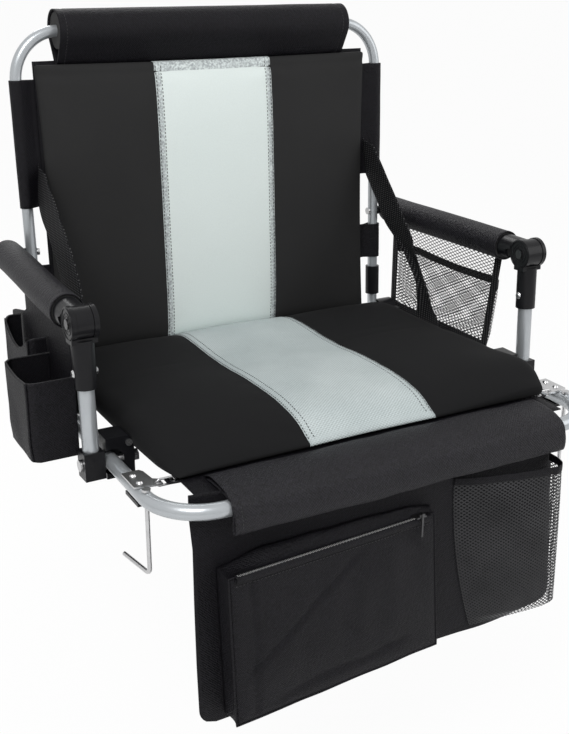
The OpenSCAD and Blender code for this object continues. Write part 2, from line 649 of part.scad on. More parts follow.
// Elbow half on the armrest: a drum between the post's cheeks, a collar and a hidden spigot.
// Its underside is open, so that the post's socket folds up into it.
module arm_knuckle(side) {
    color(black_plastic) at_elbow(side) difference() {
        union() {
            along_x(drum_r, -drum_half, drum_half);
            difference() {
                union() {
                    along_y(collar_r, 0, collar_end);
                    along_y(spigot_r, collar_end - 1, spigot_end);
                }
                rotate([-fold_left, 0, 0]) {
                    translate([-socket_r - 0.6, 0, -60])
                        cube([2 * socket_r + 1.2, 90, 60 + socket_r + 0.6]);
                    translate([-30, 0, -60]) cube([60, yoke_sweep, 60 + yoke_half + 0.8]);
                }
                both() along_x(elbow_r + 0.5, drum_half, 30);
            }
        }
        along_x(elbow_pin_r + run, -30, 30);
        along_y(arm_tube_r + 0.02, arm_tube_start, 90);
    }
}
module arm_foam(side) {
    color([0.3, 0.3, 0.3]) at_seat() translate([side * post_x, 0, arm_z]) difference() {
        along_y(arm_roll_r - sheet_t - clear, pad_front_y + 1, pad_rear_y - 3);
        along_y(arm_tube_r + clear, pad_front_y - 1, pad_rear_y + 1);
        along_y(spigot_r + clear, pad_front_y - 1, elbow_y + spigot_end + 1);
        translate([0, pivot_y, 0]) along_x(7, -side * 30 > 0 ? -13.5 : -30, -side * 30 > 0 ? 30 : 13.5);
    }
}
module arm_sleeve(side) {
    color(black_fabric) at_seat() translate([side * post_x, 0, arm_z]) difference() {
        along_y(arm_roll_r, pad_front_y, pad_rear_y);
        along_y(arm_roll_r - sheet_t, pad_front_y - 1, pad_rear_y - sheet_t);
        translate([0, pivot_y, 0]) along_x(7, side > 0 ? -30 : 0, side > 0 ? 0 : 30);
    }
}
module arm_tube_left() { arm_tube(-1); }
module arm_tube_right() { arm_tube(1); }
module arm_knuckle_left() { arm_knuckle(-1); }
module arm_knuckle_right() { arm_knuckle(1); }
module arm_foam_left() { arm_foam(-1); }
module arm_foam_right() { arm_foam(1); }
module arm_sleeve_left() { arm_sleeve(-1); }
module arm_sleeve_right() { arm_sleeve(1); }

// Left side: a panel hangs from the armrest's outside and carries two cup pockets
panel_low = -2;
panel_span = [-262, 2];
module side_panel() {
    color(black_fabric) at_seat() translate([-panel_in - panel_t, panel_span[0], panel_low])
        cube([panel_t, panel_span[1] - panel_span[0], panel_top - panel_low]);
}
front_cup_y = -274;
rear_cup_y = -178;
rear_cup_len = 116;
rear_cup_depth = 22;
// A cup pocket's outline seen from above, its open side on the panel
cup_corner = 10;
module cup_plan(len, depth, in) {
    for (y = [cup_corner, len - cup_corner])
        translate([-depth + cup_corner, y]) circle(r = cup_corner - in);
    translate([-depth + in, cup_corner]) square([depth - in, len - 2 * cup_corner]);
    translate([-depth + cup_corner, in]) square([depth - cup_corner, len - 2 * in]);
}
// The rim dips in an arc that reaches the pocket's ends
module cup(len, depth, dip) {
    rim_r = (pow(len / 2 - 2, 2) + dip * dip) / (2 * dip);
    difference() {
        linear_extrude(cup_h) cup_plan(len, depth, 0);
        translate([-sheet_t, 0, sheet_t]) linear_extrude(cup_h) cup_plan(len, depth - sheet_t, sheet_t);
        translate([-depth - 1, len / 2, cup_h + rim_r - dip]) rotate([0, 90, 0])
            cylinder(r = rim_r, h = depth - 3, $fn = 96);
    }
}
module cup_pocket_front() {
    color(black_fabric) at_seat() translate([-panel_in - panel_t - clear, front_cup_y, 0])
        cup(cup_len, cup_depth, 4);
}
module cup_pocket_rear() {
    color(black_fabric) at_seat() translate([-panel_in - panel_t - clear, rear_cup_y, 0])
        cup(rear_cup_len, rear_cup_depth, 10);
}

// Right side: a net hangs from the armrest, bound with tape, with a net pocket on its outside
net_span = [-236, 8];
net_low = 2;
net_cols = 24;
net_rows = 12;
net_bar = 1.5;
module net_holes(w, h) {
    cell_w = w / net_cols;
    cell_h = h / net_rows;
    for (i = [0:net_cols - 1], j = [0:net_rows - 1])
        translate([(i + 0.5) * cell_w, (j + 0.5) * cell_h])
            polygon([[-cell_w / 2 + net_bar / 2, 0], [0, -cell_h / 2 + net_bar / 2],
                [cell_w / 2 - net_bar / 2, 0], [0, cell_h / 2 - net_bar / 2]]);
}
tape_w = 9;
module side_net() {
    w = net_span[1] - net_span[0] - 2 * tape_w;
    h = panel_top - net_low - 2 * tape_w;
    color(black_fabric) at_seat() translate([panel_in, net_span[0] + tape_w, net_low + tape_w])
        rotate([90, 0, 90]) linear_extrude(net_t) difference() {
            square([w, h]);
            net_holes(w, h);
        }
}
module net_binding() {
    w = net_span[1] - net_span[0];
    h = panel_top - net_low;
    color(black_fabric) at_seat() translate([panel_in, net_span[0], net_low]) rotate([90, 0, 90])
        linear_extrude(panel_t) difference() {
            square([w, h]);
            translate([tape_w, tape_w]) square([w - 2 * tape_w, h - 2 * tape_w]);
        }
}
side_pocket_h = 104;
side_pocket_out = 26;
module side_pocket() {
    w = net_span[1] - net_span[0] - 4;
    color(black_fabric) at_seat() translate([panel_in + panel_t + clear, net_span[0] + 2, net_low])
        difference() {
            rotate([90, 0, 0]) mirror([0, 0, 1]) linear_extrude(w)
                polygon([[0, 0], [side_pocket_out - 8, 0], [side_pocket_out, 20],
                    [side_pocket_out, side_pocket_h], [0, side_pocket_h]]);
            translate([0, net_t, 0]) rotate([90, 0, 0]) mirror([0, 0, 1]) linear_extrude(w - 2 * net_t)
                polygon([[-1, net_t], [side_pocket_out - 8.8, net_t], [side_pocket_out - net_t, 20.4],
                    [side_pocket_out - net_t, side_pocket_h + 1], [-1, side_pocket_h + 1]]);
        }
}

// Elbow half on the post: two round cheeks and the socket that holds the post tube
module post_fork(side) {
    color(black_plastic) at_post(side) translate([0, 0, arm_h]) difference() {
        union() {
            both() along_x(elbow_r, cheek_in, cheek_out);
            translate([-cheek_out, -yoke_half, -socket_top - 3]) cube([2 * cheek_out, 2 * yoke_half, 9]);
            translate([0, 0, -socket_end]) cylinder(r = socket_r, h = socket_end - socket_top);
        }
        along_x(drum_r + 0.5, -cheek_in + 0.05, cheek_in - 0.05);
        along_x(elbow_pin_r + 0.02, -30, 30);
        translate([0, 0, -socket_end - 1]) cylinder(r = post_r + 0.02, h = socket_end - socket_top - 4);
        translate([0, 0, -socket_end + 17]) along_x(2.52, -30, 30);
    }
}
module post_tube(side) {
    top = arm_h - socket_top - 5.2;
    color(silver) at_post(side) difference() {
        translate([0, 0, bolt_r + 3]) ring(post_r, post_r - tube_wall, top - bolt_r - 3);
        translate([0, 0, arm_h - socket_end + 17]) along_x(2.52, -30, 30);
    }
}
module post_foot(side) {
    color(black_plastic) at_post(side) difference() {
        translate([-block_half, -block_d, -block_h]) cube([2 * block_half, 2 * block_d, 2 * block_h]);
        translate([0, 0, bolt_r + 3]) cylinder(r = post_r + 0.02, h = 30);
        along_x(bolt_r + clear, -30, 30);
    }
}
module elbow_pin(side) {
    color(steel) at_post(side) translate([0, 0, arm_h]) {
        along_x(elbow_pin_r, -cheek_out, cheek_out);
        both() along_x(cap_r, cheek_out, cheek_out + cap_t);
    }
}
module post_rivet(side) {
    color(steel) at_post(side) translate([0, 0, arm_h - socket_end + 17]) {
        along_x(2.5, -socket_r - 1, socket_r + 1);
        both() translate([socket_r + 0.02, 0, 0]) rotate([0, 90, 0]) cylinder(r1 = 4.4, r2 = 3, h = 1.9);
    }
}
module post_fork_left() { post_fork(-1); }
module post_fork_right() { post_fork(1); }
module post_tube_left() { post_tube(-1); }
module post_tube_right() { post_tube(1); }
module post_foot_left() { post_foot(-1); }
module post_foot_right() { post_foot(1); }
module elbow_pin_left() { elbow_pin(-1); }
module elbow_pin_right() { elbow_pin(1); }
module post_rivet_left() { post_rivet(-1); }
module post_rivet_right() { post_rivet(1); }

// Bench hook: a J of wire hanging through the seat tube on a formed collar
module hook() {
    color(steel) at_seat() translate([hook_x, hook_y, 0]) rotate([0, 0, -hook_turn]) {
        translate([0, 0, -hook_drop + hook_bend])
            cylinder(r = hook_r, h = hook_drop - hook_bend + seat_r + 3, $fn = 24);
        translate([0, 0, seat_r + 0.3]) cylinder(r = 4.6, h = 2.7);
        translate([0, hook_bend, -hook_drop + hook_bend]) rotate([0, -90, 0]) rotate([0, 0, 180])
            rotate_extrude(angle = 90) translate([hook_bend, 0]) circle(r = hook_r, $fn = 24);
        translate([0, hook_bend, -hook_drop]) rotate([-90, 0, 0])
            cylinder(r = hook_r, h = hook_foot - hook_bend, $fn = 24);
    }
}
module hook_left() { mirror([1, 0, 0]) hook(); }
module hook_right() { hook(); }

seat_frame();
rear_cross_tube();
hinge_brackets();
hinge_bolts();
post_saddles();
post_pivot_bolts();
sling_tabs();
tab_underplates();
frame_screws();
wire_links();
grommets();
seat_sling();
seat_cushion();
seat_stripe();
front_sleeve();
apron();
zip_pocket();
zipper();
bottle_net();
bottle_hem();
strap_left();
strap_right();
back_frame();
hinge_collars();
back_panel();
back_cushion();
back_stripe();
top_foam();
top_sleeve();
arm_pivot_bolts();
arm_spacers();
arm_tube_left();
arm_knuckle_left();
arm_foam_left();
arm_sleeve_left();
arm_tube_right();
arm_knuckle_right();
arm_foam_right();
arm_sleeve_right();
side_panel();
cup_pocket_front();
cup_pocket_rear();
side_net();
net_binding();
side_pocket();
post_fork_left();
post_tube_left();
post_foot_left();
elbow_pin_left();
post_rivet_left();
post_fork_right();
post_tube_right();
post_foot_right();
elbow_pin_right();
post_rivet_right();
hook_left();
hook_right();
zip_slider();
zip_pull();
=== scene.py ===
# Looks for the folding bleacher seat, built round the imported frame.
import json
import math
import bpy
import bmesh
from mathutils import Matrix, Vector, noise

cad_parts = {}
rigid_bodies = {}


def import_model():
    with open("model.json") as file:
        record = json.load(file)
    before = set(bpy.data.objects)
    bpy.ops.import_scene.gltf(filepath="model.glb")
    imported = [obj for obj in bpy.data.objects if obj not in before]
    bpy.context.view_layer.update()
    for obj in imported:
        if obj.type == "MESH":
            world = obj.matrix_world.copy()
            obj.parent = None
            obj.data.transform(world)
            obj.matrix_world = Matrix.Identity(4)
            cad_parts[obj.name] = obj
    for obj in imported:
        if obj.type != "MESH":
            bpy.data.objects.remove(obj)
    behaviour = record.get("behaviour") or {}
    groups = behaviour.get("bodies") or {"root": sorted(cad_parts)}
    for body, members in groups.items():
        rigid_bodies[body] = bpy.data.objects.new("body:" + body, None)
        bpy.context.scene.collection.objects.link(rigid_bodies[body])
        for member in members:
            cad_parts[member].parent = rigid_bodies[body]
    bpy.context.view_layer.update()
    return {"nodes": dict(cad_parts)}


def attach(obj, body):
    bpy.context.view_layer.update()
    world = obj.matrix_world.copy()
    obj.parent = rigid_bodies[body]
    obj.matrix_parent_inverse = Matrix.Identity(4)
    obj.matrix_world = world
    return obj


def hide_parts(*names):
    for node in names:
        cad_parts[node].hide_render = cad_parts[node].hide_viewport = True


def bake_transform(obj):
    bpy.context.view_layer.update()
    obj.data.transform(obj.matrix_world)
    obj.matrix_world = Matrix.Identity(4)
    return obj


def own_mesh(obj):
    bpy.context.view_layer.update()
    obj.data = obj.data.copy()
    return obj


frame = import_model()
print("frame loaded:", len(frame["nodes"]), "nodes")

lean = math.radians(2.5)          # the back's lean behind upright
tubeHeight = 20.0                 # seat tube's centre over the bench, mm
mm = 0.001
fullTurn = 2 * math.pi
hands = ((-1, "left"), (1, "right"))


# Points are written in millimetres round the seat tube's plane, as on a drawing
def seatPoint(x, y, z):
    return Vector((x, y, z + tubeHeight)) * mm


def backPoint(x, off, s):         # off: towards the sitter, s: up the back
    return seatPoint(x, s * math.sin(lean) - off * math.cos(lean), s * math.cos(lean) + off * math.sin(lean))


upward = Vector((0, 0, 1))
outOfBack = backPoint(0, 1, 0) - backPoint(0, 0, 0)


def mix(a, b, t):
    return a + (b - a) * t


def ramp(x, low, high):           # smooth 0 to 1 between low and high
    t = min(1.0, max(0.0, (x - low) / (high - low)))
    return t * t * (3 - 2 * t)


def bell(x, width):               # 1 at x = 0, falling away to both sides
    return math.exp(-(x / width) ** 2)


def lookup(x, table):
    for (x0, y0), (x1, y1) in zip(table, table[1:]):
        if x <= x1:
            return mix(y0, y1, max(0.0, (x - x0) / (x1 - x0)))
    return table[-1][1]


def smoothLookup(x, table):       # the same table, drawn as a smooth curve
    step = 0.03 * (table[-1][0] - table[0][0])
    return (lookup(x - step, table) + 2 * lookup(x, table) + lookup(x + step, table)) / 4


def ripple(a, b, c, size):        # smooth noise, -1 to 1, with its size in the points' own units
    return noise.noise(Vector((a / size, b / size, c / size)))


def curvePoints(points, count):   # smooth curve through plain points
    points = [Vector(p) for p in points]
    ends = [2 * points[0] - points[1]] + points + [2 * points[-1] - points[-2]]
    fine = []
    for p0, p1, p2, p3 in zip(ends, ends[1:], ends[2:], ends[3:]):
        for i in range(12):
            t = i / 12
            fine.append(0.5 * ((2 * p1) + (p2 - p0) * t + (2 * p0 - 5 * p1 + 4 * p2 - p3) * t * t
                               + (3 * p1 - p0 - 3 * p2 + p3) * t ** 3))
    fine.append(points[-1])
    lengths = [0.0]
    for a, b in zip(fine, fine[1:]):
        lengths.append(lengths[-1] + (b - a).length)
    result, k = [], 0
    for i in range(count):
        want = lengths[-1] * i / (count - 1)
        while k < len(fine) - 2 and lengths[k + 1] < want:
            k += 1
        span = max(1e-9, lengths[k + 1] - lengths[k])
        result.append(fine[k].lerp(fine[k + 1], (want - lengths[k]) / span))
    return result


# Making pieces
def addObject(name, data):
    piece = bpy.data.objects.new(name, data)
    bpy.context.scene.collection.objects.link(piece)
    return piece


def addPiece(name, verts, faces, finish, uvs=None):     # finish is a key of materials
    mesh = bpy.data.meshes.new(name)
    mesh.from_pydata([tuple(v) for v in verts], [], faces)
    mesh.materials.append(materials[finish])
    if uvs:
        layer = mesh.uv_layers.new(name="cloth")
        for loop in mesh.loops:
            layer.data[loop.index].uv = uvs[loop.vertex_index]
    mesh.polygons.foreach_set("use_smooth", [True] * len(mesh.polygons))
    mesh.update()
    return addObject(name, mesh)


def dress(piece, body, slot, *nodes):
    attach(piece, body)
    if nodes:
        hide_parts(*nodes)
    return piece


def thicken(piece, thick, offset=-1.0):
    solid = piece.modifiers.new("thickness", "SOLIDIFY")
    solid.thickness = thick * mm
    solid.offset = offset


def addSheet(name, place, across, along, finish, size=(0.1, 0.1), thick=0.0, closed=False, offset=-1.0):
    width = across if closed else across + 1
    verts, uvs = [], []
    for j in range(along + 1):
        for i in range(width):
            u, v = i / across, j / along
            verts.append(place(u, v))
            uvs.append((u * size[0], v * size[1]))
    faces = [(j * width + i, j * width + (i + 1) % width, (j + 1) * width + (i + 1) % width, (j + 1) * width + i)
             for j in range(along) for i in range(across)]
    piece = addPiece(name, verts, faces, finish, uvs)
    if thick:
        thicken(piece, thick, offset)
    return piece


def addSoftBox(name, place, counts, finish, mark=None):
    # a box of grids on the unit cube, moved into shape by place(a, b, c)
    verts, faces, marks, index = [], [], [], {}

    def corner(*spot):
        if spot not in index:
            index[spot] = len(verts)
            verts.append(place(*(k / count for k, count in zip(spot, counts))))
        return index[spot]
    for axis, side in ((0, 0), (0, 1), (1, 0), (1, 1), (2, 0), (2, 1)):
        first, second = [a for a in range(3) if a != axis]
        for p in range(counts[first]):
            for q in range(counts[second]):
                loop = []
                for dp, dq in ((0, 0), (1, 0), (1, 1), (0, 1)):
                    spot = [side * counts[axis]] * 3
                    spot[first], spot[second] = p + dp, q + dq
                    loop.append(corner(*spot))
                faces.append(loop)
                marks.append(mark(axis, side, p, q) if mark else 0)
    piece = addPiece(name, verts, faces, finish)
    turn = bmesh.new()
    turn.from_mesh(piece.data)
    bmesh.ops.recalc_face_normals(turn, faces=turn.faces)
    turn.to_mesh(piece.data)
    turn.free()
    piece.data.polygons.foreach_set("material_index", marks)
    return piece


def addTube(name, points, radius, finish, closed=False):
    # a round cord of eight sides along points
    sides, count, side = 8, len(points), None
    verts, faces = [], []
    for k, point in enumerate(points):
        ahead = points[(k + 1) % count] if closed or k < count - 1 else point
        behind = points[k - 1] if closed or k > 0 else point
        along = (ahead - behind).normalized()
        if side is None:
            side = along.orthogonal().normalized()
        side = (side - along * side.dot(along)).normalized()
        up = along.cross(side)
        for i in range(sides):
            angle = fullTurn * i / sides
            verts.append(point + (side * math.cos(angle) + up * math.sin(angle)) * radius * mm)
    for k in range(count if closed else count - 1):
        n = (k + 1) % count
        for i in range(sides):
            j = (i + 1) % sides
            faces.append((k * sides + i, k * sides + j, n * sides + j, n * sides + i))
    if not closed:
        faces += [tuple(reversed(range(sides))), tuple(range((count - 1) * sides, count * sides))]
    return addPiece(name, verts, faces, finish)


def addBits(name, places, size, finish):
    # many small rounded bars: each place is (centre, along, up)
    verts, faces = [], []
    length, width, height = (s * 0.0005 for s in size)
    shape = [(-1, 0, -0.4), (-0.75, -1, 0), (-0.75, 0, 1), (-0.75, 1, 0),
             (0.75, -1, 0), (0.75, 0, 1), (0.75, 1, 0), (1, 0, -0.4)]
    loops = [(0, 1, 2), (0, 2, 3), (1, 4, 5, 2), (2, 5, 6, 3), (4, 7, 5), (5, 7, 6), (0, 3, 1), (1, 3, 6, 4), (4, 6, 7)]
    for centre, along, up in places:
        along = along.normalized()
        across = up.cross(along).normalized()
        lift = along.cross(across)
        base = len(verts)
        verts += [centre + along * a * length + across * b * width + lift * c * height for a, b, c in shape]
        faces += [tuple(base + i for i in loop) for loop in loops]
    return addPiece(name, verts, faces, finish)


stitchLook = dict(pitch=4.2, hem=(2.7, 0.8, 0.5), stripePitch=4.6, stripe=(3.0, 1.05, 0.7), lift=0.15, gap=12)


def stitchLine(target, starts, towards, pitch=stitchLook["pitch"]):
    # places of stitches where the starts' line, shone along towards, meets the target
    target.data.update()
    hits = []
    for start in starts:
        found, spot, normal, index = target.ray_cast(start, towards)
        if found:
            hits.append((spot, normal if normal.dot(towards) < 0 else -normal))
    places, travelled, due = [], 0.0, 0.0
    for (a, na), (b, nb) in zip(hits, hits[1:]):
        step = (b - a).length * 1000
        if step > stitchLook["gap"]:
            travelled += step
            due = travelled
            continue
        while due <= travelled + step and step > 0:
            t = (due - travelled) / step
            normal = na.lerp(nb, t)
            places.append((a.lerp(b, t) + normal * stitchLook["lift"] * mm, b - a, normal))
            due += pitch
        travelled += step
    return places


def sewHem(name, places, body):
    dress(addBits(name, places, stitchLook["hem"], "hemThread"), body, "black_cloth")


# Shader building
def feed(tree, node, values):     # sockets are joined, numbers and colours are set
    for place, value in values.items():
        if isinstance(value, bpy.types.NodeSocket):
            tree.links.new(value, node.inputs[place])
        else:
            node.inputs[place].default_value = value


def addNode(tree, kind, values={}, **settings):
    node = tree.nodes.new("ShaderNode" + kind)
    for key, value in settings.items():
        setattr(node, key, value)
    feed(tree, node, values)
    return node


def calculator(tree):
    def calc(operation, first, second=0.5, clamp=False):
        return addNode(tree, "Math", {0: first, 1: second}, operation=operation, use_clamp=clamp).outputs[0]
    return calc


def newGroup(name, inputs, outputs):
    group = bpy.data.node_groups.new(name, "ShaderNodeTree")
    for label, value in inputs.items():
        socket = group.interface.new_socket(name=label, in_out="INPUT", socket_type="NodeSocketFloat")
        socket.default_value = value
    for label in outputs:
        group.interface.new_socket(name=label, in_out="OUTPUT", socket_type="NodeSocketFloat")
    coords = addNode(group, "TexCoord").outputs
    given, out = group.nodes.new("NodeGroupInput").outputs, group.nodes.new("NodeGroupOutput")
    return group, given, out, coords, calculator(group)


def makeWeaveGroup():
    # plain weave that needs no unwrapping: three flat weaves, chosen by the way that the surface faces
    group, given, out, coords, calc = newGroup("Cloth weave", {"Thread": 0.001, "Stretch": 1.0}, ["Height"])
    place = addNode(group, "SeparateXYZ", {0: coords["Object"]}).outputs
    facing = addNode(group, "SeparateXYZ", {0: coords["Normal"]}).outputs
    turn = calc("DIVIDE", fullTurn, given["Thread"])
    scaled = [calc("MULTIPLY", axis, turn) for axis in place]
    scaled[0] = calc("DIVIDE", scaled[0], given["Stretch"])
    waves = [calc("SINE", axis) for axis in scaled]
    weights = [calc("POWER", calc("ABSOLUTE", axis), 3.0) for axis in facing]
    total = calc("ADD", calc("ADD", weights[0], weights[1]), weights[2])
    parts = [calc("MULTIPLY", calc("MULTIPLY", waves[first], waves[second]), weights[axis])
             for axis, first, second in ((0, 1, 2), (1, 0, 2), (2, 0, 1))]
    height = calc("DIVIDE", calc("ADD", calc("ADD", parts[0], parts[1]), parts[2]), calc("MAXIMUM", total, 0.001))
    feed(group, out, {"Height": calc("ADD", calc("MULTIPLY", height, 0.5), 0.5)})
    return group


def makeMottleGroup():
    # slow change of tone and fine speckle, as dyed cloth and cast plastic have
    group, given, out, coords, calc = newGroup("Tone and speckle", {"Patch size": 0.05, "Speckle size": 0.0012},
                                               ["Patch", "Speckle"])
    for label, detail in (("Patch", 3.0), ("Speckle", 2.0)):
        scale = calc("DIVIDE", 1.0, given[label + " size"])
        spots = addNode(group, "TexNoise", {"Detail": detail, "Vector": coords["Object"], "Scale": scale})
        feed(group, out, {label: spots.outputs["Fac"]})
    return group


def makeWebbingGroup():
    # diamond weave in the plane of the seat's sides, where all the webbing lies
    group, given, out, coords, calc = newGroup("Webbing ribs", {"Rib": 0.0022}, ["Height", "Light"])
    place = addNode(group, "SeparateXYZ", {0: coords["Object"]}).outputs
    turn = calc("DIVIDE", fullTurn, given["Rib"])
    along = calc("MULTIPLY", place[2], turn)
    across = calc("MULTIPLY", calc("MULTIPLY", place[1], turn), 0.6)
    height = calc("MULTIPLY", calc("SINE", calc("ADD", along, across)), calc("SINE", calc("SUBTRACT", along, across)))
    feed(group, out, {"Height": calc("ADD", calc("MULTIPLY", height, 0.5), 0.5),
                      "Light": calc("GREATER_THAN", height, 0.55)})
    return group


groups = {"weave": makeWeaveGroup(), "mottle": makeMottleGroup(), "webbing": makeWebbingGroup()}


def addGroup(tree, key, values):
    return addNode(tree, "Group", values, node_tree=groups[key]).outputs


def addMottle(tree, look):
    return addGroup(tree, "mottle", {"Patch size": look["patch"], "Speckle size": look["speckle"]})


def newMaterial(name):
    material = bpy.data.materials.new(name)
    material.use_nodes = True
    tree = material.node_tree
    return material, tree, tree.nodes["Principled BSDF"], calculator(tree)


def mixColours(tree, factor, *colours):
    first, second = [c + (1.0,) if isinstance(c, tuple) else c for c in colours]
    return addNode(tree, "Mix", {0: factor, 6: first, 7: second}, data_type="RGBA").outputs[2]


def addBump(tree, shader, height, strength, distance):
    bump = addNode(tree, "Bump", {"Strength": strength, "Distance": distance, "Height": height})
    feed(tree, shader, {"Normal": bump.outputs["Normal"]})


def spread(tree, value, low, high):      # maps 0..1 to low..high
    return addNode(tree, "MapRange", {"Value": value, "To Min": low, "To Max": high}).outputs["Result"]


def makeCloth(name, look, **changes):
    look = dict(look, **changes)
    material, tree, shader, calc = newMaterial(name)
    weave = addGroup(tree, "weave", {"Thread": look["thread"], "Stretch": look.get("stretch", 1.0)})
    mottle = addMottle(tree, look)
    colour = mixColours(tree, mottle["Patch"], look["dark"], look["light"])
    if "band" in look:            # painted shade and sheen: where the pale cloth folds over the top and along its sewn edges it is painted a darker, mottled tone
        coords = addNode(tree, "TexCoord").outputs
        place = addNode(tree, "SeparateXYZ", {0: coords["Object"]}).outputs
        above = calc("GREATER_THAN", place[2], look["band"])
        beside = calc("GREATER_THAN", calc("ABSOLUTE", place[0]), look["edge"])
        foldShadeMottle = addGroup(tree, "mottle", {"Speckle size": look["bandSpeckle"]})
        spots = calc("MULTIPLY", calc("SUBTRACT", foldShadeMottle["Speckle"], 0.35), 3.3, clamp=True)
        colour = mixColours(tree, calc("MAXIMUM", above, beside), colour,
                            mixColours(tree, spots, look["bandDark"], look["bandLight"]))
    grain = calc("MULTIPLY", calc("SUBTRACT", mottle["Speckle"], 0.28), 2.27, clamp=True)
    threads = calc("ADD", calc("MULTIPLY", weave["Height"], look["weaveShare"]),
                   calc("MULTIPLY", grain, 1 - look["weaveShare"]))
    contrast = spread(tree, threads, 1 - look["contrast"], 1 + look["contrast"])
    shade = addNode(tree, "VectorMath", {0: colour, "Scale": contrast}, operation="SCALE")
    feed(tree, shader, {"Base Color": shade.outputs[0], "Sheen Weight": look["sheen"], "Sheen Roughness": 0.45,
                        "Roughness": spread(tree, mottle["Speckle"], look["rough"] - 0.06, look["rough"] + 0.06),
                        "Specular IOR Level": look["specular"]})
    addBump(tree, shader, threads, look["bump"], look["thread"] * 0.35)
    return material


def makeWebbing(name, look):
    material, tree, shader, calc = newMaterial(name)
    ribs = addGroup(tree, "webbing", {"Rib": look["rib"]})
    feed(tree, shader, {"Base Color": mixColours(tree, ribs["Light"], look["dark"], look["light"]),
                        "Roughness": spread(tree, ribs["Height"], 0.8, 0.62), "Specular IOR Level": 0.12})
    addBump(tree, shader, ribs["Height"], 0.6, 0.0006)
    return material


hardLook = dict(patch=0.02, speckle=0.001, rough=0.5, roughSpread=0.05, metal=0.0, bump=0.1, specular=0.5, coat=0.0)


def makeHard(name, dark, light, **changes):       # painted tube, plated steel, moulded plastic, foam and thread
    look = dict(hardLook, **changes)
    material, tree, shader, calc = newMaterial(name)
    mottle = addMottle(tree, look)
    rough = spread(tree, mottle["Speckle"], look["rough"] - look["roughSpread"], look["rough"] + look["roughSpread"])
    feed(tree, shader, {"Base Color": mixColours(tree, mottle["Patch"], dark, light), "Roughness": rough,
                        "Metallic": look["metal"], "Specular IOR Level": look["specular"],
                        "Coat Weight": look["coat"], "Coat Roughness": 0.15})
    addBump(tree, shader, mottle["Speckle"], look["bump"], 0.0003)
    return material


cushionLook = dict(thread=0.0009, patch=0.12, speckle=0.0011, dark=(0.0085, 0.0086, 0.0092),
                   light=(0.0105, 0.0106, 0.0112), weaveShare=0.5, contrast=0.12, rough=0.85, sheen=0.02, bump=0.25,
                   specular=0.12)
paleSeatLook = dict(thread=0.0034, stretch=1.35, patch=0.09, speckle=0.0016, dark=(0.36, 0.42, 0.425),
                    light=(0.6, 0.655, 0.655), weaveShare=0.8, contrast=0.32, rough=0.6, sheen=0.0, bump=0.5,
                    specular=0.3)
# the band's dark and light colours are painted shade and sheen on the fold over the top and along the sewn edges
paleBackLook = dict(thread=0.0016, patch=0.2, speckle=0.0016, dark=(0.7, 0.775, 0.755), light=(0.76, 0.82, 0.8),
                    weaveShare=0.6, contrast=0.05, rough=0.65, sheen=0.0, bump=0.2, specular=0.3, band=0.3907,
                    edge=0.0755, bandSpeckle=0.0026, bandDark=(0.34, 0.37, 0.38), bandLight=(0.68, 0.74, 0.73))
coverLook = dict(thread=0.003, patch=0.05, speckle=0.0027, dark=(0.004, 0.0037, 0.0052),
                 light=(0.0076, 0.0071, 0.0094), weaveShare=0.45, contrast=0.95, rough=0.52, sheen=0.0, bump=1.0,
                 specular=0.16)
webbingLook = dict(rib=0.0058, dark=(0.006, 0.006, 0.007), light=(0.085, 0.085, 0.087))
materials = {
    "seatCushion": makeCloth("seat cushion cloth", cushionLook),
    # painted light: the back cushion's charcoal cloth is the seat's cloth painted lighter, standing in for the light
    # and sheen it shows facing forward
    "backCushion": makeCloth("back cushion cloth", cushionLook, dark=(0.021, 0.021, 0.0213),
                             light=(0.028, 0.028, 0.0283)),
    "seatStripe": makeCloth("pale seat mesh", paleSeatLook),
    "backStripe": makeCloth("pale back cloth", paleBackLook),
    "cover": makeCloth("roll and pocket cloth", coverLook),
    # painted light: the bar and arm sleeves are the cover's black cloth painted lighter, standing in for the highlights
    # they catch
    "sleeve": makeCloth("bar sleeve cloth", coverLook, thread=0.0034, speckle=0.0032, dark=(0.0052, 0.0048, 0.0068),
                        light=(0.0128, 0.0119, 0.0155), contrast=0.98, specular=0.26, rough=0.5),
    "binding": makeCloth("rim tape", coverLook, thread=0.0012, dark=(0.03, 0.03, 0.032), light=(0.045, 0.045, 0.047)),
    "webbing": makeWebbing("black webbing", webbingLook),
    "foam": makeHard("dark foam", (0.02, 0.02, 0.02), (0.03, 0.03, 0.03), patch=0.01, rough=0.95, roughSpread=0.03,
                     bump=0.8),
    "net": makeHard("net thread", (0.009, 0.009, 0.01), (0.014, 0.014, 0.015), speckle=0.002, rough=0.6),
    # painted highlights: the net's lighter patches stand in for the light its threads catch
    "bottleNet": makeHard("bottle net thread", (0.001, 0.001, 0.002), (0.044, 0.044, 0.047), patch=0.04,
                          speckle=0.003, specular=0.3, rough=0.42),
    "thread": makeHard("stitching", (0.02, 0.021, 0.022), (0.04, 0.04, 0.041), rough=0.6),
    "hemThread": makeHard("grey stitching", (0.02, 0.02, 0.022), (0.05, 0.05, 0.052)),
    "silver": makeHard("silver paint", (0.4, 0.425, 0.445), (0.52, 0.545, 0.565), patch=0.03, speckle=0.0006,
                       rough=0.3, metal=0.6, bump=0.05, coat=0.25),
    "plastic": makeHard("black nylon", (0.0035, 0.0035, 0.0045), (0.0085, 0.0085, 0.01), patch=0.015,
                        speckle=0.0012, specular=0.17, rough=0.33, roughSpread=0.13, bump=0.5, coat=0.16),
    "steel": makeHard("zinc plate", (0.5, 0.5, 0.51), (0.7, 0.7, 0.7), patch=0.01, speckle=0.0005, rough=0.28,
                      roughSpread=0.08, metal=1.0),
    "zipTeeth": makeHard("zip teeth", (0.3, 0.3, 0.3), (0.5, 0.5, 0.49), patch=0.01, rough=0.35, roughSpread=0.06,
                         metal=0.2),
    "zipMetal": makeHard("dark zip metal", (0.05, 0.05, 0.055), (0.12, 0.12, 0.12), patch=0.01, speckle=0.0005,
                         rough=0.3, roughSpread=0.08, metal=0.9),
}
print("materials made:", len(materials))


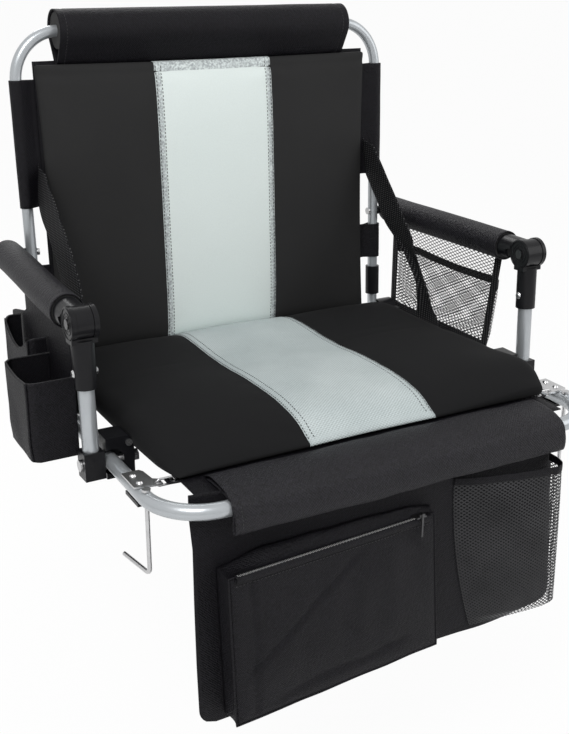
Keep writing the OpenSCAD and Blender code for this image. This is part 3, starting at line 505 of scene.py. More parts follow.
# Camera, floor and light
viewLook = dict(place=(-0.6265, -1.3215, 0.5287), turn=(69.332, -0.225, -28.898), lens=53.52, sensor=36,
                aim=(0, -0.25, 0.15), floorHeight=-0.46, floorReach=60, floorGlow=0.93, backdrop=1.0, world=0.8)
lamps = {"key": dict(place=(-1.3, -1.6, 2.1), size=1.3, power=34.0),
         "fill": dict(place=(1.9, -1.5, 1.0), size=1.6, power=11.0),
         "rim": dict(place=(0.3, 1.8, 1.7), size=1.2, power=14.0)}


def makeStudio(look):
    scene = bpy.context.scene
    camera = addObject("camera", bpy.data.cameras.new("camera"))
    camera.location = look["place"]
    camera.rotation_euler = [math.radians(a) for a in look["turn"]]
    camera.data.sensor_fit = "VERTICAL"
    camera.data.sensor_height = look["sensor"]
    camera.data.lens = look["lens"]
    scene.camera = camera
    for name, lampLook in lamps.items():
        lamp = addObject(name, bpy.data.lights.new(name, "AREA"))
        lamp.data.size = lampLook["size"]
        lamp.data.energy = lampLook["power"]
        lamp.location = lampLook["place"]
        lamp.rotation_euler = (Vector(look["aim"]) - Vector(lampLook["place"])).to_track_quat("-Z", "Y").to_euler()
    # plain world: soft grey light on the part, white where the camera or a reflection looks past it
    scene.world = scene.world or bpy.data.worlds.new("studio")
    scene.world.use_nodes = True
    tree = scene.world.node_tree
    tree.nodes.clear()
    calc = calculator(tree)
    path = addNode(tree, "LightPath").outputs
    soft = addNode(tree, "Background", {"Strength": look["world"]})
    white = addNode(tree, "Background", {"Color": (look["backdrop"],) * 3 + (1,)})
    seen = calc("MAXIMUM", calc("MAXIMUM", path["Is Camera Ray"], calc("MULTIPLY", path["Is Glossy Ray"], 0.45)),
                path["Is Transmission Ray"])
    blend = addNode(tree, "MixShader", {0: seen, 1: soft.outputs[0], 2: white.outputs[0]})
    addNode(tree, "OutputWorld", {0: blend.outputs[0]})
    # the floor is white to the camera, with a faint shadow
    materials["floor"], tree, shader, calc = newMaterial("studio floor")
    feed(tree, shader, {"Base Color": (0.9, 0.9, 0.9, 1), "Roughness": 0.9})
    path = addNode(tree, "LightPath").outputs
    seen = calc("MULTIPLY", calc("MAXIMUM", path["Is Camera Ray"], path["Is Transmission Ray"]), look["floorGlow"])
    glow = addNode(tree, "Emission")
    blend = addNode(tree, "MixShader", {0: seen, 1: shader.outputs[0], 2: glow.outputs[0]})
    feed(tree, tree.nodes["Material Output"], {"Surface": blend.outputs[0]})
    z, reach = look["floorHeight"], look["floorReach"]
    floor = addPiece("studio.floor", [(-reach, -reach, z), (reach, -reach, z), (reach, reach, z), (-reach, reach, z)],
                     [(0, 1, 2, 3)], "floor")
    scene.view_settings.view_transform = "Standard"


makeStudio(viewLook)
print("camera, floor and lamps made")

# Cushions: two dark panels and a pale one between them, sewn to a black underside
seatPad = dict(half=244.0, stripe=83.0, rear=11.0, front=400.0, bottom=9.3, edge=29.5, crown=2.0, pull=-7.0,
               corner=7.0, roundness=5.0, bulge=3.0, seamDip=1.5, pucker=0.45, cap=4.0, swell=7.0, lift=9.0)
seatWave = [(0, 0.3), (0.05, 0.66), (0.13, 0.93), (0.23, 0.92), (0.35, 0.86), (0.47, 0.88), (0.57, 0.98), (0.67, 1.03),
            (0.77, 1.01), (0.86, 0.91), (0.92, 0.76), (0.965, 0.52), (1, 0.14)]
backPad = dict(half=233.0, stripe=83.0, low=17.0, high=383.0, behind=0.4, edge=11.0, crown=8.0, pull=4.0,
               roundness=2.5, bulge=1.8, seamDip=1.2, pucker=0.4, crease=371.0, creaseDip=2.4, cap=3.0)
padCounts = (78, 66, 6)
padLook = dict(seamHold=1.5, edgeHold=7.5, proud=0.55, stripeThick=0.6, seams=(1.6, 8.5), fill=0.75)
puffLook = dict(quality=5, mass=0.3, tension_stiffness=12, compression_stiffness=12, shear_stiffness=5,
                bending_stiffness=0.4, use_pressure=True, uniform_pressure_force=4.0, vertex_group_mass="held")
puffFrames = 20


def rise(t, power):
    return max(0.0, 1 - abs(2 * t - 1) ** power) ** 0.6


def panelShare(a, half, stripe):  # column share to -1..1 over the width, with a third of the columns on the stripe
    if a < 1 / 3:
        return mix(-half, -stripe, a * 3)
    if a > 2 / 3:
        return mix(stripe, half, a * 3 - 2)
    return mix(-stripe, stripe, a * 3 - 1)


def seamShape(x, along, pad):     # the dip and pucker of the seams beside the stripe
    near = abs(abs(x) - pad["stripe"])
    return -pad["seamDip"] * bell(near, 4.5) + pad["pucker"] * math.exp(-near / 14) * ripple(x * 0.2, along, 3, 9)


def drawnIn(b, pad):              # half the width, with sides that draw in or swell between the corners
    return pad["half"] - pad["pull"] * (1 - (2 * b - 1) ** 2)


def sideBulge(x, a, bulge, pad):
    return x + math.copysign(pad["bulge"], x) * bulge * (abs(2 * a - 1) > 0.999)


def placeSeatPad(a, b, c):
    pad = seatPad
    half = drawnIn(b, pad) - pad["corner"] * max(0.0, (b - 0.9) / 0.1) ** 1.6
    x = panelShare(a, half, pad["stripe"])
    u = 0.5 + x / half / 2
    y = -mix(pad["rear"], pad["front"] - 3 * 4 * u * (1 - u), b)
    top = pad["bottom"] + smoothLookup(b, seatWave) * (pad["edge"] + pad["crown"] * rise(u, 4))
    soft = rise(u, 8) * rise(b, 10)
    top += (seamShape(x, y, pad) + 0.7 * ripple(x, y, 0, 75)) * soft
    top -= pad["roundness"] * max(0.0, 1 - (half - abs(x)) / 15) ** 2.2 * min(1.0, (top - pad["bottom"]) / 22)
    right = ramp(x, 95, half)                         # the right front corner is fuller
    top += pad["lift"] * right * ramp(b, 0.72, 0.93)
    x += pad["swell"] * right * bell(b - 0.87, 0.12)
    low = pad["bottom"] + 2.5 * (1 - soft)
    bulge = math.sin(math.pi * c)
    x = sideBulge(x, a, bulge, pad)
    y += 1.2 * bulge * ((b < 0.001) - (b > 0.999))
    return seatPoint(x, y, mix(low, max(top, low + 1.5), c))


def placeBackPad(a, b, c):
    pad = backPad
    half = drawnIn(b, pad)
    x = panelShare(a, half, pad["stripe"])
    u = 0.5 + x / half / 2
    s = mix(pad["low"] + 2 * 4 * u * (1 - u), pad["high"] - 2 * 4 * u * (1 - u), b)
    soft = rise(u, 8) * rise(b, 10)
    front = pad["behind"] + pad["edge"] + pad["crown"] * (rise(u, 4) * rise(b, 5))
    front += (seamShape(x, s, pad) + 0.8 * ripple(x, s, 5, 90)) * soft
    front -= pad["creaseDip"] * bell(s - pad["crease"], 2.6)
    front -= pad["roundness"] * max(0.0, 1 - (half - abs(x)) / 9) ** 2.2
    bulge = math.sin(math.pi * c)
    x = sideBulge(x, a, bulge, pad)
    s += 1.0 * bulge * ((b > 0.999) - (b < 0.001))
    return backPoint(x, mix(pad["behind"], front, c), s)


def markStripe(axis, side, p, q):  # which faces of the soft box the pale stripe covers
    third = padCounts[0] // 3
    onTop = axis == 2 and side == 1 and third <= p < 2 * third
    onEnd = axis == 1 and third <= p < 2 * third and q >= (2 if side == 1 else 3)
    return 1 if onTop or onEnd else 0


def puff(piece, cap):
    # blows the sewn cover up a little, with no point moved further than cap
    scene = bpy.context.scene
    start = [v.co.copy() for v in piece.data.vertices]
    cloth = piece.modifiers.new("cloth", "CLOTH")
    for key, value in puffLook.items():
        setattr(cloth.settings, key, value)
    cloth.settings.effector_weights.gravity = 0
    cloth.collision_settings.use_collision = False
    for number in range(1, puffFrames + 1):
        scene.frame_set(number)
    blown = piece.evaluated_get(bpy.context.evaluated_depsgraph_get())
    moved = [v.co.copy() for v in blown.to_mesh().vertices]
    blown.to_mesh_clear()
    piece.modifiers.remove(cloth)
    scene.frame_set(1)
    for vertex, old, new in zip(piece.data.vertices, start, moved):
        shift = new - old
        if shift.length > cap * mm:
            shift *= cap * mm / shift.length
        vertex.co = old + shift
    piece.data.update()


def splitStripe(name, cushion):
    # the marked faces again, a little proud, as a piece of their own
    mesh = bmesh.new()
    mesh.from_mesh(cushion.data)
    bmesh.ops.delete(mesh, geom=[f for f in mesh.faces if f.material_index != 1], context="FACES")
    mesh.normal_update()
    for vertex in mesh.verts:
        vertex.co += vertex.normal * padLook["proud"] * mm
    for face in mesh.faces:
        face.material_index = 0
    data = bpy.data.meshes.new(name)
    mesh.to_mesh(data)
    mesh.free()
    data.materials.append(materials[name])
    stripe = addObject(name, data)
    thicken(stripe, padLook["stripeThick"])
    return stripe


def makePad(body, place, pad, foot, outward):
    cushion = addSoftBox(body + "Cushion", place, padCounts, body + "Cushion", markStripe)
    held = [v.index for v in cushion.data.vertices
            if abs(abs(v.co.x * 1000) - pad["stripe"]) < padLook["seamHold"]
            or abs(v.co.x * 1000) > pad["half"] - padLook["edgeHold"]]
    cushion.vertex_groups.new(name="held").add(held, 1.0, "REPLACE")
    puff(cushion, pad["cap"])
    for vertex in cushion.data.vertices:              # flat below, on the cloth that carries it
        vertex.co += outward * max(0.0, -(vertex.co - foot).dot(outward))
    cushion.data.materials.append(materials[body + "Cushion"])
    stripe = splitStripe(body + "Stripe", cushion)
    dress(cushion, body, "charcoal_cloth", body + "_cushion")
    dress(stripe, body, "pale_cloth", body + "_stripe")
    return cushion, stripe


def stitchPad(body, cushion, stripe, place, pad, towards):
    places = []
    inner, outer = padLook["seams"]
    for x in (-pad["stripe"] + outer, -pad["stripe"] + inner, pad["stripe"] - inner, pad["stripe"] - outer):
        a = (x + pad["stripe"]) / pad["stripe"] / 6 + 1 / 3
        line = [place(a, 0.012 + 0.976 * k / 200, 1.0) - Vector(towards) * 0.03 for k in range(201)]
        places += stitchLine(stripe, line, Vector(towards), stitchLook["stripePitch"])
    stitches = addBits(body + "Stitches", places, stitchLook["stripe"], "thread")
    dress(stitches, body, "charcoal_cloth")
    smooth = cushion.modifiers.new("smooth", "SUBSURF")
    smooth.levels = smooth.render_levels = 1


seatPieces = makePad("seat", placeSeatPad, seatPad, seatPoint(0, 0, seatPad["bottom"]), upward)
backPieces = makePad("back", placeBackPad, backPad, backPoint(0, backPad["behind"], 0), outOfBack.normalized())
print("cushions made")
stitchPad("seat", *seatPieces, placeSeatPad, seatPad, (0, 0, -1))
stitchPad("back", *backPieces, placeBackPad, backPad, (0, 1, 0))
print("stripe stitches made")

# Padded rolls: foam inside a sewn sleeve, on the top bar and on the armrests
topRoll = dict(half=205.0, short=5.0, radius=23.9, high=423.0, skirtLow=380.5, hem=9.0, thick=1.4,
               foam=21.6, foamShort=2.5, bore=7.6)
armRoll = dict(radius=19.1, side=295.5, high=156.85, front=-250.65, rear=20.8, hem=7.0, inward=8.4, tail=17,
               thick=1.3, foam=17.0, bore=7.3)


def topRollShape(angle, pad):
    # a roll that narrows into the flat skirt below it; angle 0 is straight down
    off = math.sin(angle) * pad["radius"]
    up = -math.cos(angle) * pad["radius"]
    if up < 0:                    # below the bar the sleeve draws in towards the skirt
        t = (-up / pad["radius"])
        off *= mix(1.0, 0.62, t ** 3)
        up = -mix(-up, pad["high"] - pad["skirtLow"], t ** 5)
        off -= 2.6 * t ** 5
    return off, up


def placeTopSleeve(u, v):
    pad = topRoll
    x = mix(-pad["half"], pad["half"] - pad["short"], v)
    off, up = topRollShape(fullTurn * u, pad)
    end = min(x + pad["half"], pad["half"] - pad["short"] - x)
    swell = 0.992 + 0.012 * ripple(x, off * 1.5, up * 1.5, 60) - 0.02 * bell(end - pad["hem"], 1.6)
    return backPoint(x, off * swell, pad["high"] + up * swell)


def placeTopFoam(u, v):
    pad = topRoll
    x = mix(-pad["half"] + pad["foamShort"], pad["half"] - pad["short"] - pad["foamShort"], v)
    angle = fullTurn * u
    radius = pad["foam"] + 0.4 * ripple(x, math.cos(angle) * 10, math.sin(angle) * 10, 6)
    return backPoint(x, math.sin(angle) * radius, pad["high"] - math.cos(angle) * radius)


def addFoam(name, place, across, along, bore):
    # a foam tube with flat ends round what it is pushed over
    piece = addSheet(name, place, across, along, "foam", closed=True)
    mesh = bmesh.new()
    mesh.from_mesh(piece.data)
    for row in (0, along):
        mesh.verts.ensure_lookup_table()
        ring = [mesh.verts[row * across + i] for i in range(across)]
        middle = sum((v.co for v in ring), Vector()) / across
        small = [mesh.verts.new(middle + (v.co - middle).normalized() * bore * mm) for v in ring]
        for i in range(across):
            j = (i + 1) % across
            mesh.faces.new((ring[i], ring[j], small[j], small[i]))
    bmesh.ops.recalc_face_normals(mesh, faces=mesh.faces)
    mesh.to_mesh(piece.data)
    mesh.free()
    return piece


topSleeve = addSheet("topSleeve", placeTopSleeve, 64, 120, "cover", (0.17, 0.41), topRoll["thick"], True)
dress(topSleeve, "back", "black_cloth", "top_sleeve")
topFoam = dress(addFoam("topFoam", placeTopFoam, 40, 60, topRoll["bore"]), "back", "foam", "top_foam")


def armPoint(side, angle, radius, y):
    pad = armRoll
    middle = side * (pad["side"] - pad["inward"] * ramp(y, pad["front"], pad["rear"]))
    return seatPoint(middle + math.sin(angle) * radius, y, pad["high"] + math.cos(angle) * radius)


def placeArmSleeve(side, u, v):
    pad = armRoll
    y = mix(pad["front"], pad["rear"], v ** 0.97)
    angle = fullTurn * u
    tail = pad["rear"] - y
    radius = pad["radius"]
    if tail < pad["tail"]:        # the rear end is gathered and rounded
        radius *= max(0.02, math.sqrt(max(0.0, 1 - ((pad["tail"] - tail) / pad["tail"]) ** 2.4)))
    front = y - pad["front"]
    radius *= 0.99 + 0.012 * ripple(y, math.cos(angle) * 25, math.sin(angle) * 25 + side * 40, 45)
    radius -= 0.35 * bell(front - pad["hem"], 1.4)
    radius += 0.3 * bell(front - pad["hem"] / 2, 3.0)
    # the seam where the side's fabric is sewn on, along the underside
    keel = max(0.0, math.cos(angle - math.pi - side * 0.6)) ** 60
    return armPoint(side, angle, radius + 0.5 * keel, y)


def placeArmFoam(side, u, v):
    angle = fullTurn * u
    y = mix(armRoll["front"] + 1.5, armRoll["rear"] - 20, v)
    radius = armRoll["foam"] + 0.3 * ripple(y, math.cos(angle) * 10, math.sin(angle) * 10, 5)
    return armPoint(side, angle, radius, y)


for side, label in hands:
    body = "arm_" + label
    sleeve = addSheet("armSleeve." + label, lambda u, v: placeArmSleeve(side, u, v), 48, 110, "sleeve",
                      (0.12, 0.27), armRoll["thick"], True)
    dress(sleeve, body, "black_cloth", "arm_sleeve_" + label)
    foam = addFoam("armFoam." + label, lambda u, v: placeArmFoam(side, u, v), 36, 40, armRoll["bore"])
    dress(foam, body, "foam", "arm_foam_" + label)
print("rolls made")

# Front sleeve round the seat's front bar
barSleeve = dict(half=212.0, bar=-460.0, hem=8.0, thick=1.0)
# its outline in depth and height, a folded double layer
barProfile = [(57, 11), (44, 16.5), (29, 17.8), (12, 16), (0, 12.7), (-10.9, 6.4), (-15.5, -5), (-16.8, -13),
              (-16, -21.5), (-13.2, -25.5), (-10, -25), (-8.6, -18), (-9.5, -10), (-9.3, 0), (-5, 8.6), (6, 9.6),
              (20, 11.5), (38, 11), (50, 9.2)]
barOutline = curvePoints([(0, y, z) for y, z in barProfile], 72)


def placeFrontSleeve(u, v):       # v runs along the bar
    look = barSleeve
    point = barOutline[min(71, int(round(u * 71)))]
    x = mix(-look["half"], look["half"], v)
    end = min(x + look["half"], look["half"] - x)
    soften = 0.9 * ripple(x, point.y, point.z, 55) + 0.4 * ripple(x, point.y, 9, 19)
    soften -= 0.45 * bell(end - look["hem"], 1.5)
    low = 1.6 * ripple(x, 0, 9, 120) * max(0.0, -point.z / 30)
    return seatPoint(x, look["bar"] + point.y + soften * 0.6, point.z + soften + low)


frontSleeve = addSheet("frontSleeve", placeFrontSleeve, 71, 140, "sleeve", (0.16, 0.424), barSleeve["thick"])
dress(frontSleeve, "seat", "black_cloth", "front_sleeve")


def hemStitches():
    bar, roll = barSleeve, topRoll
    places = []
    for x in (-bar["half"] + bar["hem"], bar["half"] - bar["hem"]):
        above = [seatPoint(x, bar["bar"] + 52 - 1.5 * k, 60) for k in range(36)]
        ahead = [seatPoint(x, bar["bar"] - 60, 4 - k) for k in range(25)]
        places += stitchLine(frontSleeve, above, -upward) + stitchLine(frontSleeve, ahead, Vector((0, 1, 0)))
    sewHem("sleeveStitches", places, "seat")
    places = []
    for x in (-roll["half"] + roll["hem"], roll["half"] - roll["short"] - roll["hem"]):
        line = [backPoint(x, 60, 384 + 1.5 * k) for k in range(40)]
        places += stitchLine(topSleeve, line, -outOfBack.normalized())
    sewHem("rollStitches", places, "back")


hemStitches()

# Apron hanging behind the front bar
apronLook = dict(front=-449.1, left=-246.0, top=13.1, drop=-252.0, rightTop=213.0, rightLow=238.0, fold=3.2,
                 corner=18.0, thick=1.4)


def placeApron(u, v):
    look = apronLook
    short = max(0.0, look["corner"] - (1 - v) * (look["top"] - look["drop"]))
    cut = look["corner"] - math.sqrt(look["corner"] ** 2 - short ** 2)
    right = mix(look["rightTop"], look["rightLow"], v) - cut
    x = mix(look["left"] + 3 * v ** 4 + cut, right, u)
    low = look["drop"] + 4 * abs(2 * u - 1) ** 6 - 10 * (1 - u) ** 3
    z = mix(look["top"], low, v)
    tuck = 8 * max(0.0, 1 - u / 0.1) * min(1.0, max(0.0, 1 - (v - 0.09) / 0.12))
    fold = look["fold"] * v * (1 - math.cos(fullTurn * 2.5 * u)) / 2 + tuck
    fold += (0.9 * ripple(x, 0, z, 60) + 0.5 * ripple(x, 4, z * 0.6, 22)) * v
    return seatPoint(x, look["front"] + fold + 0.15, z)


apron = addSheet("apron", placeApron, 110, 72, "cover", (0.47, 0.265), apronLook["thick"], offset=1.0)
dress(apron, "seat", "black_cloth", "apron")
print("front sleeve and apron made")

# Zip pocket: a gusseted box, fuller at its left
zipLook = dict(left=-222.0, right=43.0, low=-246.0, top=-70.0, back=-449.4, deep=29.2, slim=13.3, ridge=12.0,
               piping=1.25, tooth=(3.6, 1.15, 1.3), toothPitch=1.9)
zipTapeLine = [(7.6, 0.5), (4.4, 0.75), (1.4, 0.6), (0.0, 0.0), (-0.3, -2.4), (-0.15, -6.6)]    # back and up


def zipCreases(x, z, near):       # depth of the folds pressed into the pocket's front
    crease = 3.2 * bell(x - 8 + (z + 90) * 0.8, 8) * bell(z + 90, 24)
    crease += (2.4 * bell(z + 232 - 0.09 * (x + 180) - 6 * ripple(x, 1, 1, 90), 4.5) * ramp(x, -205, -120)
               * ramp(-x, -20, 40))
    crease += 2.0 * bell(x + 196 + 5 * ripple(z, 2, 2, 60), 4.0) * ramp(near, 3, 12)
    crease += 2.0 * bell(x + 150 - (z + 150) * 1.4, 6) * ramp(near, 6, 30)
    return crease + 1.1 * bell(x + 60 + (z + 190) * 1.1, 8) * ramp(near, 4, 30)


def placeZipPocket(a, b, c):
    look = zipLook
    x = mix(look["left"], look["right"], a)
    z = mix(look["low"], look["top"], b)
    # the front panel is soft: rounded at its edges, wavy inside and full in its middle
    near = min(min(a, 1 - a) * (look["right"] - look["left"]), min(b, 1 - b) * (look["top"] - look["low"]))
    drop = 3.0 * math.exp(-near / 5.0) if c > 0.999 else 0.0
    wave = (2.4 * ripple(x, z, 2, 75) + 1.5 * ripple(x, z * 0.5, 7, 30)) * ramp(near, 2, 40) + 2.2 * ramp(near, 0, 60)
    out = mix(look["deep"], look["slim"], a) * c + (wave - drop - zipCreases(x, z, near)) * c
    pinch = math.sin(math.pi * c)
    x += (1 - b) * mix(7, 14, a)
    z -= 4 * (1 - b) * (1 - a)
    x += 1.5 * pinch * ((a > 0.999) - (a < 0.001)) * -1 + 3 * c * (1 - 2 * a) * 0.5
    z += -1.2 * pinch * ((b > 0.999) - (b < 0.001)) + 1.0 * c * ripple(x, 3, 1, 40) * (b < 0.02)
    # behind the zip the top's cloth rises in a soft ridge
    ridge = look["ridge"] * ramp(a, 0.0, 0.22) * (1 - 0.45 * ramp(a, 0.8, 1.0))
    z += (ridge + 2.2 * ripple(x, 8, c * 30, 34)) * bell(c - 0.1, 0.42) * ramp(b, 0.9, 1.0)
    return seatPoint(x, look["back"] - out, z)


zipPocket = addSoftBox("zipPocket", placeZipPocket, (84, 60, 8), "cover")
dress(zipPocket, "seat", "black_cloth", "zip_pocket")
print("zip pocket made")


# Zip: teeth, tape edges and the pocket's piping
def zipPoint(along, out, up):     # along the pocket's top front edge, in millimetres
    angle = math.atan2(zipLook["deep"] - zipLook["slim"], zipLook["right"] - zipLook["left"] - 5)
    x = zipLook["left"] + 3 + along * math.cos(angle) - out * math.sin(-angle)
    y = zipLook["back"] - 30 + along * math.sin(angle) - out * math.cos(angle)
    return seatPoint(x, y, zipLook["top"] + up)


def makeZip(look):
    length = look["right"] - look["left"] - 5

    def tape(u, v):               # a narrow tape that turns over the pocket's top front edge
        along = mix(6, length - 6, u)
        back, up = zipTapeLine[round(v * 5)]
        return zipPoint(along, -back, up + 0.25 * ripple(along, v * 5, 0, 18))
    zipTape = addSheet("zipTape", tape, 90, 5, "cover", thick=0.5)
    dress(zipTape, "seat", "black_cloth", "zipper")
    places = []
    for k in range(int((length - 20) / look["toothPitch"])):
        along = 9 + k * look["toothPitch"]
        across = zipPoint(along, -6, 1.15) - zipPoint(along, 0, 1.15)
        places.append((zipPoint(along, -3.2 + 0.8 * (k % 2), 1.15), across, upward))
    dress(addBits("zipTeeth", places, look["tooth"], "zipTeeth"), "seat", "black_plastic", "zipper")
    # piping round the pocket's front panel
    rim = [(0, 0), (0.5, 0), (1, 0), (1, 0.5), (1, 1), (0.5, 1), (0, 1), (0, 0.5)]
    points = []
    for (a0, b0), (a1, b1) in zip(rim, rim[1:] + rim[:1]):
        points += [placeZipPocket(mix(a0, a1, k / 20), mix(b0, b1, k / 20), 1.0) + Vector((0, -0.0002, 0))
                   for k in range(20)]
    dress(addTube("zipPiping", points, look["piping"], "cover", closed=True), "seat", "black_cloth")
    line = [placeZipPocket(mix(0.03, 0.97, k / 160), 0.945, 1.0) + Vector((0, -0.03, 0)) for k in range(161)]
    sewHem("zipStitches", stitchLine(zipPocket, line, Vector((0, 1, 0))), "seat")


makeZip(zipLook)
print("zip made")

# Nets are real threads: diamond cells of thin flat strips, clipped to a unit square
netLook = dict(bottle=(6.4, 4.6), side=(9.6, 5.0), bottleThread=0.2, sideThread=0.12)


def addNet(name, place, size, pitch, finish, thread):
    # size is the sheet's size in millimetres, pitch one diamond's width and height
    across, along = size[0] / pitch[0], size[1] / pitch[1]
    verts, faces, index = [], [], {}

    def corner(p, q):
        u, v = (p + q) / 2 / across, (q - p) / 2 / along
        key = (round(p, 4), round(q, 4))
        if key not in index:
            index[key] = len(verts)
            verts.append(place(min(1.0, max(0.0, u)), min(1.0, max(0.0, v))))
        return index[key]
    for p in range(-int(along) - 2, int(across) + 3):
        for q in range(0, int(across + along) + 2):
            u, v = (p + q + 1) / 2 / across, (q - p) / 2 / along
            if not (-0.2 / across <= u <= 1 + 0.2 / across and -0.2 / along <= v <= 1 + 0.2 / along):
                continue
            outer, inner = [[corner(p + low, q + low), corner(p + 1 - low, q + low), corner(p + 1 - low, q + 1 - low),
                             corner(p + low, q + 1 - low)] for low in (0, thread)]
            faces += [(outer[k], outer[(k + 1) % 4], inner[(k + 1) % 4], inner[k]) for k in range(4)]
    return addPiece(name, verts, faces, finish)


# Bottle pocket: net standing out at its right, with a hem round its mouth
bottleLook = dict(top=-49.0, low=-246.0, topLeft=75.0, topRight=214.0, lowLeft=112.0, lowRight=232.0, back=-449.4,
                  topOut=33.4, lowOut=21.0, hem=9.0, hemThick=1.1)
planCache = {}


def bottleLine(t, left, right, out):
    # t runs 0 to 1 along the pocket's outline seen from above
    plan = [(left, 0), (left + 12, out * 0.18), (left + 24, out * 0.33), (mix(left, right, 0.5), out * 0.72),
            (right - 24, out * 0.97), (right - 12, out * 0.99), (right - 3, out * 0.8), (right + 1, out * 0.4),
            (right + 1.5, 0)]
    key = tuple(round(v, 2) for p in plan for v in p)
    if key not in planCache:
        planCache[key] = curvePoints([(x, y, 0) for x, y in plan], 90)
    line = planCache[key]
    k = min(88, int(t * 89))
    return line[k].lerp(line[k + 1], t * 89 - k)


def placeBottle(u, v):
    look = bottleLook
    drop = 1 - v
    left = mix(look["topLeft"], look["lowLeft"], drop ** 1.8)
    right = mix(look["topRight"], look["lowRight"], drop)
    out = mix(look["topOut"], look["lowOut"], drop ** 1.3)
    out *= 1 - 0.55 * ramp(drop, 0.93, 1.0)
    point = bottleLine(u, left, right, out)
    z = mix(look["top"], look["low"], drop)
    wave = 0.8 * ripple(point.x, point.y, z, 40) * (0.2 < u < 0.8)
    return seatPoint(point.x, look["back"] - max(0.2, point.y - 0.5 + wave), z)


def placeBottleHem(u, v):
    look = bottleLook
    point = bottleLine(u, look["topLeft"], look["topRight"], look["topOut"])
    z = look["top"] + 0.3 + look["hem"] * v
    return seatPoint(point.x, look["back"] - max(0.3, point.y + 0.35 * math.sin(math.pi * v)), z)


bottleNet = addNet("bottleNet", placeBottle, (168, 197), netLook["bottle"], "bottleNet",
                   netLook["bottleThread"])
dress(bottleNet, "seat", "black_net", "bottle_net")
bottleHem = addSheet("bottleHem", placeBottleHem, 90, 6, "cover", (0.18, 0.009), bottleLook["hemThick"])
dress(bottleHem, "seat", "black_webbing", "bottle_hem")
print("bottle pocket made")

# Left side: panel and two cup pockets
sideLook = dict(plane=297.5, top=138.5, low=-2.0, front=-262.0, rear=38.0, step=62.0, stepLow=98.0, stepHigh=118.0,
                thick=1.3, cupThick=1.2, rim=1.0)
cups = {"frontCup": dict(start=-274.0, length=88.0, depth=53.0, height=92.0, dip=4.0, corner=10.0, sag=0.03),
        "rearCup": dict(start=-178.0, length=100.0, depth=22.0, height=107.0, dip=22.0, corner=9.0, sag=0.1)}


def placeSidePanel(u, v):
    look = sideLook
    z = mix(look["top"], look["low"], v)
    y = mix(-look["step"] * ramp(z, look["stepLow"], look["stepHigh"]) - look["rear"], look["front"], u)
    out = 0.5 + 0.7 * ripple(y, z, 3, 70) * (1 - 0.4 * v)
    return seatPoint(-(look["plane"] + max(0.0, out)), y, z)


sidePanel = addSheet("sidePanel", placeSidePanel, 60, 40, "cover", (0.264, 0.147), sideLook["thick"],
                     offset=0.0)
dress(sidePanel, "arm_left", "black_cloth", "side_panel")


def makeCup(name, node):
    # the wall runs from the panel, out, along and back; its floor is sewn to its lower edge
    look = cups[name]
    start, length, depth, corner = look["start"], look["length"], look["depth"], look["corner"]
    bends = [(corner * math.sin(math.pi / 2 * k / 5), corner * math.cos(math.pi / 2 * k / 5)) for k in range(6)]
    plan = [(0.6, 0.0)] + [(depth - corner + a, corner - b) for a, b in bends]
    plan += [(depth - corner + b, length - corner + a) for a, b in bends] + [(0.6, length)]
    line = curvePoints([(x, y, 0) for x, y in plan], 80)

    def wall(u, v):
        point = line[min(79, int(round(u * 79)))]
        out, y = point.x, point.y
        middle = math.sin(math.pi * min(1.0, max(0.0, y / length)))
        high = look["height"] - look["dip"] * middle * (out > depth * 0.5) * ramp(out, depth * 0.5, depth) - 0.8
        z = mix(0.6, high, v)
        out *= mix(0.965, 1.0 - look["sag"] * math.sin(math.pi * v) * middle, ramp(v, 0, 0.3))
        out += 0.8 * ripple(y, z, start, 30) * ramp(out, 4, 20) * (1 - 0.5 * v) - 0.6
        x = sideLook["plane"] + 2.1 + max(0.2, out - 0.8)
        return seatPoint(-x, start + mix(0.8, length - 0.8, y / length), z)
    pocket = addSheet(name, wall, 79, 36, "cover", (0.2, 0.092), sideLook["cupThick"])
    dress(pocket, "arm_left", "black_cloth", node)
    rim = [wall(k / 79, 1.0) + Vector((0.0004, 0, -0.0006)) for k in range(80)]
    dress(addTube(name + "Rim", rim, sideLook["rim"], "binding"), "arm_left", "black_cloth")
    low = [wall(k / 79, 0.0) for k in range(80)]
    middle = seatPoint(-(sideLook["plane"] + depth * 0.45), start + length / 2, 0.9)
    verts = low + [p.lerp(middle, 0.5) for p in low] + [middle]
    faces = [(k, k + 1, 81 + k, 80 + k) for k in range(79)] + [(80 + k, 81 + k, 160) for k in range(79)]
    floor = addPiece(name + "Floor", verts, faces, "cover")
    return pocket, dress(floor, "arm_left", "black_cloth")


frontCup, frontCupFloor = makeCup("frontCup", "cup_pocket_front")
rearCup, rearCupFloor = makeCup("rearCup", "cup_pocket_rear")
print("cup pockets made")

# Right side: a net with a bound edge, and a net pocket on its outside
netSide = dict(plane=297.5, rear=8.0, front=-236.0, top=138.5, low=2.0, tape=12.5, tapeThick=1.1, taper=20.0)
pocketLook = dict(rear=5.0, front=-233.0, low=2.5, high=103.0, out=25.5, band=12.5, bandThick=1.0)


def netPoint(out, y, z):          # the net's front edge slants back towards its foot
    look = netSide
    forward = (look["rear"] - y) / (look["rear"] - look["front"])
    slant = look["taper"] * (1 - (z - look["low"]) / (look["top"] - look["low"])) - 6.0
    return seatPoint(look["plane"] + out, y + slant * forward, z)


def placeSideNet(u, v):
    look = netSide
    y = mix(look["front"] + 5, look["rear"] - 5, u)
    z = mix(look["low"] + 5, look["top"] - 2, v)
    return netPoint(0.8 + 0.25 * ripple(y, z, 0, 60), y, z)


